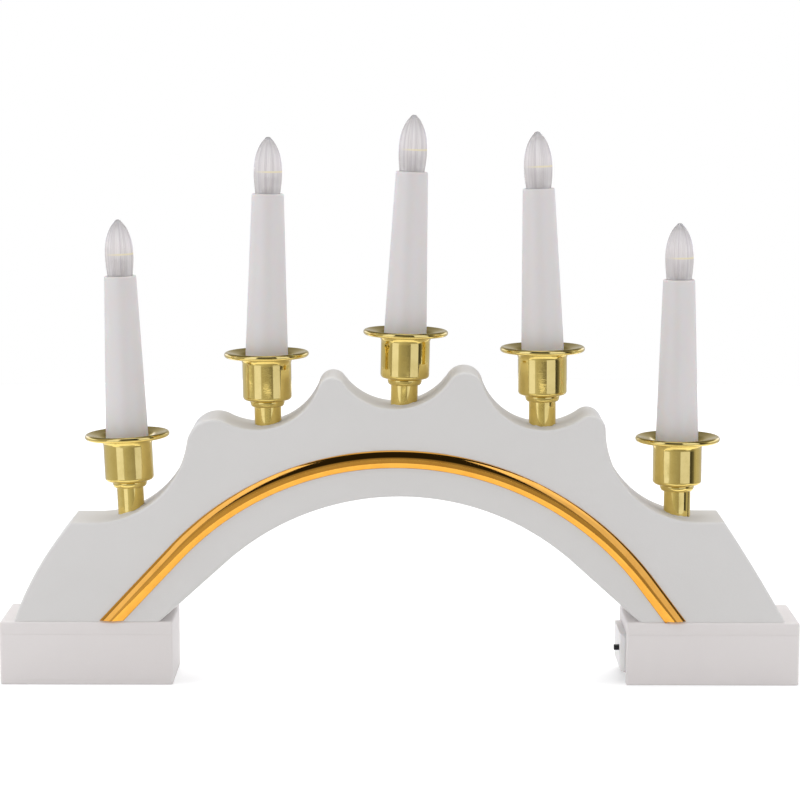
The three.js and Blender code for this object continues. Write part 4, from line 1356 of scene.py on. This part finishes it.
# %% [markdown]
# ## The candles
# The candle is a thin tapered sleeve of satin plastic, with a rounded top edge and a ledge inside on
# which the cap's foot rests. A cone would have no wall, so the sleeve is a closed profile turned
# about its axis.

# %% Candles
CANDLE_FOOT = 10.6
CANDLE_TOP = 7.95
CANDLE_SHOWN = 80.0
CANDLE_WALL = 1.2
CANDLE_EDGE = 0.75
LEDGE = 1.2
CAP_SPIGOT = 6.2
CAP_SPIGOT_LENGTH = 6.0
CAP_FIT = 0.3


def candle(k):
    """A sleeve, straight in its cup and tapered above, with a ledge inside for the cap."""
    foot, axis, length = axis_of(f"candle_{k}")
    socket = CAP_SPIGOT + CAP_FIT
    ledge = length - CAP_SPIGOT_LENGTH - CAP_FIT
    inner = CANDLE_FOOT - CANDLE_WALL
    profile = supported(rounded([
        (inner, 0.4, 0), (inner, 0, 0.2), (CANDLE_FOOT, 0, 0.4), (CANDLE_FOOT, length - CANDLE_SHOWN, 30),
        (CANDLE_TOP, length, CANDLE_EDGE), (socket, length, 0.25), (socket, ledge, 0),
        (socket - LEDGE, ledge, 0), (socket - LEDGE, ledge - LEDGE, 0), (inner, 0.4, 0)], 7))[:-1]
    made = turned(f"candle_{k}_sleeve", profile, foot, axis, around=80, closed=True)
    return finish_piece(made, f"candle_{k}", "candle")


for k in HOLDERS:
    candle(k)
print("candles made")

# %% [markdown]
# ## The flame caps
# The cap is moulded from clear plastic, with fine flutes down its outside and a hollow for the lamp at
# its foot. Bump alone would leave its outline smooth, so the flutes are in the mesh: the radius is
# the flame's outline less a small depth that waves with the angle. The pale line where the hollow ends
# lies inside the plastic and is a warm painted highlight. It is stored on the mesh with a painted shade
# in the flutes and a painted shade that makes the foot and tip greyer, and the finish shows them.

# %% Flame caps
CAP_HEIGHT = 28.0
CAP_RADIUS = 7.05
CAP_BELLY = 10.0
CAP_HOLLOW = 8.5
CAP_BORE = 3.2
FLUTES = 44
FLUTE_DEPTH = 0.17
TIP_POWER, TIP_ROUND = 0.7, 0.58
# The warm painted highlight: where its line starts and ends and how it fades, then the turn of its brightest
# side.
WARM_FROM, WARM_TO, WARM_FADE = 10.3, 11.5, 0.3
WARM_HIGHLIGHT_TURN = 0.6
# Painted shade in the flutes: its base, its ripple with the flutes, and its slow random wave.
FLUTE_SHADE_BASE, FLUTE_SHADE_RIPPLE, FLUTE_SHADE_SLOW = 0.2, 0.32, 0.13
# Painted shade by height in millimetres, greyer at the foot and the tip.
CAP_HEIGHT_SHADE = {0: 0.5, 1: 0.3, 4: 0.22, 10: 0.2, 11: 0.02, 15: 0.02, 19: 0.22, 23: 0.4, 26: 0.5, 28: 0.9}


def flame_radius(height):
    """A swelling foot up to the belly, then 1 - u^2.3 to a power that falls at the round tip."""
    swell = CAP_SPIGOT + (CAP_RADIUS - CAP_SPIGOT) * np.sin(np.pi / 2 * np.clip(height / CAP_BELLY, 0, 1))
    u = np.clip((height - CAP_BELLY) / (CAP_HEIGHT - CAP_BELLY), 0, 1)
    power = TIP_POWER - (TIP_POWER - TIP_ROUND) * smooth_step(u, 0.93, 0.99)
    return np.where(height < CAP_BELLY, swell, CAP_RADIUS * (1 - u**2.3) ** power)


def flute(angle, height, radius):
    """Flutes between the foot and the tip: depth times half of 1 - cos of the angle times their count.

    Only the outside has them, which is where the radius is the flame's own.
    """
    fade = smooth_step(height, 0.3, 1.5) * (1 - smooth_step(height, CAP_HEIGHT - 5, CAP_HEIGHT - 0.8))
    outside = (height > 0) & (np.abs(radius - flame_radius(height)) < 1e-6)
    return -FLUTE_DEPTH * fade * outside * (0.5 - 0.5 * np.cos(FLUTES * angle))


def mark_cap(piece, k, start, axis):
    """Stores the cap's painted shades and its painted highlight from each vertex's angle and height.

    The painted shade in the flutes follows the flute's wave and a slow random wave round the cap, the same at
    all heights. The painted shade by height makes the foot and tip greyer, and the warm painted highlight is
    brightest on one side.
    """
    side, other = across_from(axis)
    place = (rows_of(piece) - start) / MM
    height, angle = place @ axis, np.arctan2(place @ other, place @ side)
    slow = random_waves(40 + k, angle, range(7, 27, 3))
    # Painted shade in the flutes.
    wave = FLUTE_SHADE_RIPPLE * (0.5 - 0.5 * np.cos(FLUTES * angle)) + FLUTE_SHADE_BASE + FLUTE_SHADE_SLOW * slow
    shown = smooth_step(height, 0.2, 1.0) * (1 - smooth_step(height, CAP_HEIGHT - 4, CAP_HEIGHT))
    store(piece, "flute_shade", np.clip(wave, 0, 1) * shown)
    # Painted shade by height.
    store(piece, "height_shade", by_table(CAP_HEIGHT_SHADE, height))
    # A painted highlight: a warm line round the cap, brightest on one side.
    begun = smooth_step(height, WARM_FROM, WARM_FROM + WARM_FADE)
    ended = smooth_step(height, WARM_TO - WARM_FADE, WARM_TO)
    store(piece, "warm", np.clip(0.45 + 0.9 * np.cos(angle + WARM_HIGHLIGHT_TURN), 0, 1) * begun * (1 - ended))


def flame_cap(k):
    """A cap on its spigot, with rows of points close together along the warm line."""
    foot, axis, _ = axis_of(f"flame_cap_{k}")
    start = foot + axis * MM * CAP_SPIGOT_LENGTH
    even = CAP_HEIGHT * np.sin(np.linspace(0, np.pi / 2, 44))
    height = np.sort(np.concatenate([even, np.linspace(WARM_FROM, WARM_TO, 5)]))
    outside = np.stack([flame_radius(height), height], 1)
    inside = rounded([(0, CAP_HOLLOW, 0), (CAP_BORE, CAP_HOLLOW, 0.3), (CAP_BORE, -CAP_SPIGOT_LENGTH, 0.2),
                      (CAP_SPIGOT, -CAP_SPIGOT_LENGTH, 0.3), (CAP_SPIGOT, -0.1, 0)], 4)
    profile = np.concatenate([inside, outside])
    made = turned(f"flame_cap_{k}_fluted", profile, start, axis, FLUTES * 8, radius_change=flute, sharp=60)
    mark_cap(made, k, start, axis)
    return finish_piece(made, f"flame_cap_{k}", "clear")


for k in HOLDERS:
    flame_cap(k)
print(f"flame caps made, with {FLUTES} flutes each")

# %% [markdown]
# ## The lamps
# Each cap hides a small resin lamp, which shows only as a faint shape. A ball on a disc would do, but
# a flange and a dome in one turned profile have no hidden faces.

# %% Lamps inside the caps
DOME = 2.5
FLANGE, FLANGE_HEIGHT = 2.9, 1


def lamp(k):
    """A small resin lamp: a flange and a dome."""
    foot, axis, length = axis_of(f"lamp_{k}")
    dome = arc((0, length - DOME), DOME, 0, math.pi / 2, 10)
    flange = rounded([(0, 0, 0), (FLANGE, 0, 0.1), (FLANGE, FLANGE_HEIGHT, 0.1), (DOME, FLANGE_HEIGHT, 0)], 3)
    profile = np.concatenate([flange, dome])
    made = turned(f"lamp_{k}_resin", profile, foot, axis, around=32)
    return finish_piece(made, f"lamp_{k}", "lamp")


for k in HOLDERS:
    lamp(k)
print("lamps made")

# %% [markdown]
# ## Parts that keep their built shape
# The wiring, the cells, their contacts, the case and the small screws are right as they were built.
# They only need a finish, which goes into their material slots.

# %% Finishes for the kept nodes
KEPT = {
    "cable": ["wiring"],
    "case": ["battery_case", "battery_door"],
    "sleeve": ["battery_1", "battery_2"],
    "black": ["switch_knob"],
    "steel": ["contact_negative", "contact_positive", "contact_bridge", "switch_body",
              "case_screw_1", "case_screw_2", *[f"board_screw_{n}" for n in range(1, 5)]],
}
for finish, kept in KEPT.items():
    for node in kept:
        nodes[node].data.materials.clear()
        nodes[node].data.materials.append(finishes[finish])
print(f"{sum(map(len, KEPT.values()))} nodes keep their shape")

# %% [markdown]
# ## The end
# The bounding box of everything shown but the stage is measured.

# %% Sizes and the end
low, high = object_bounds()
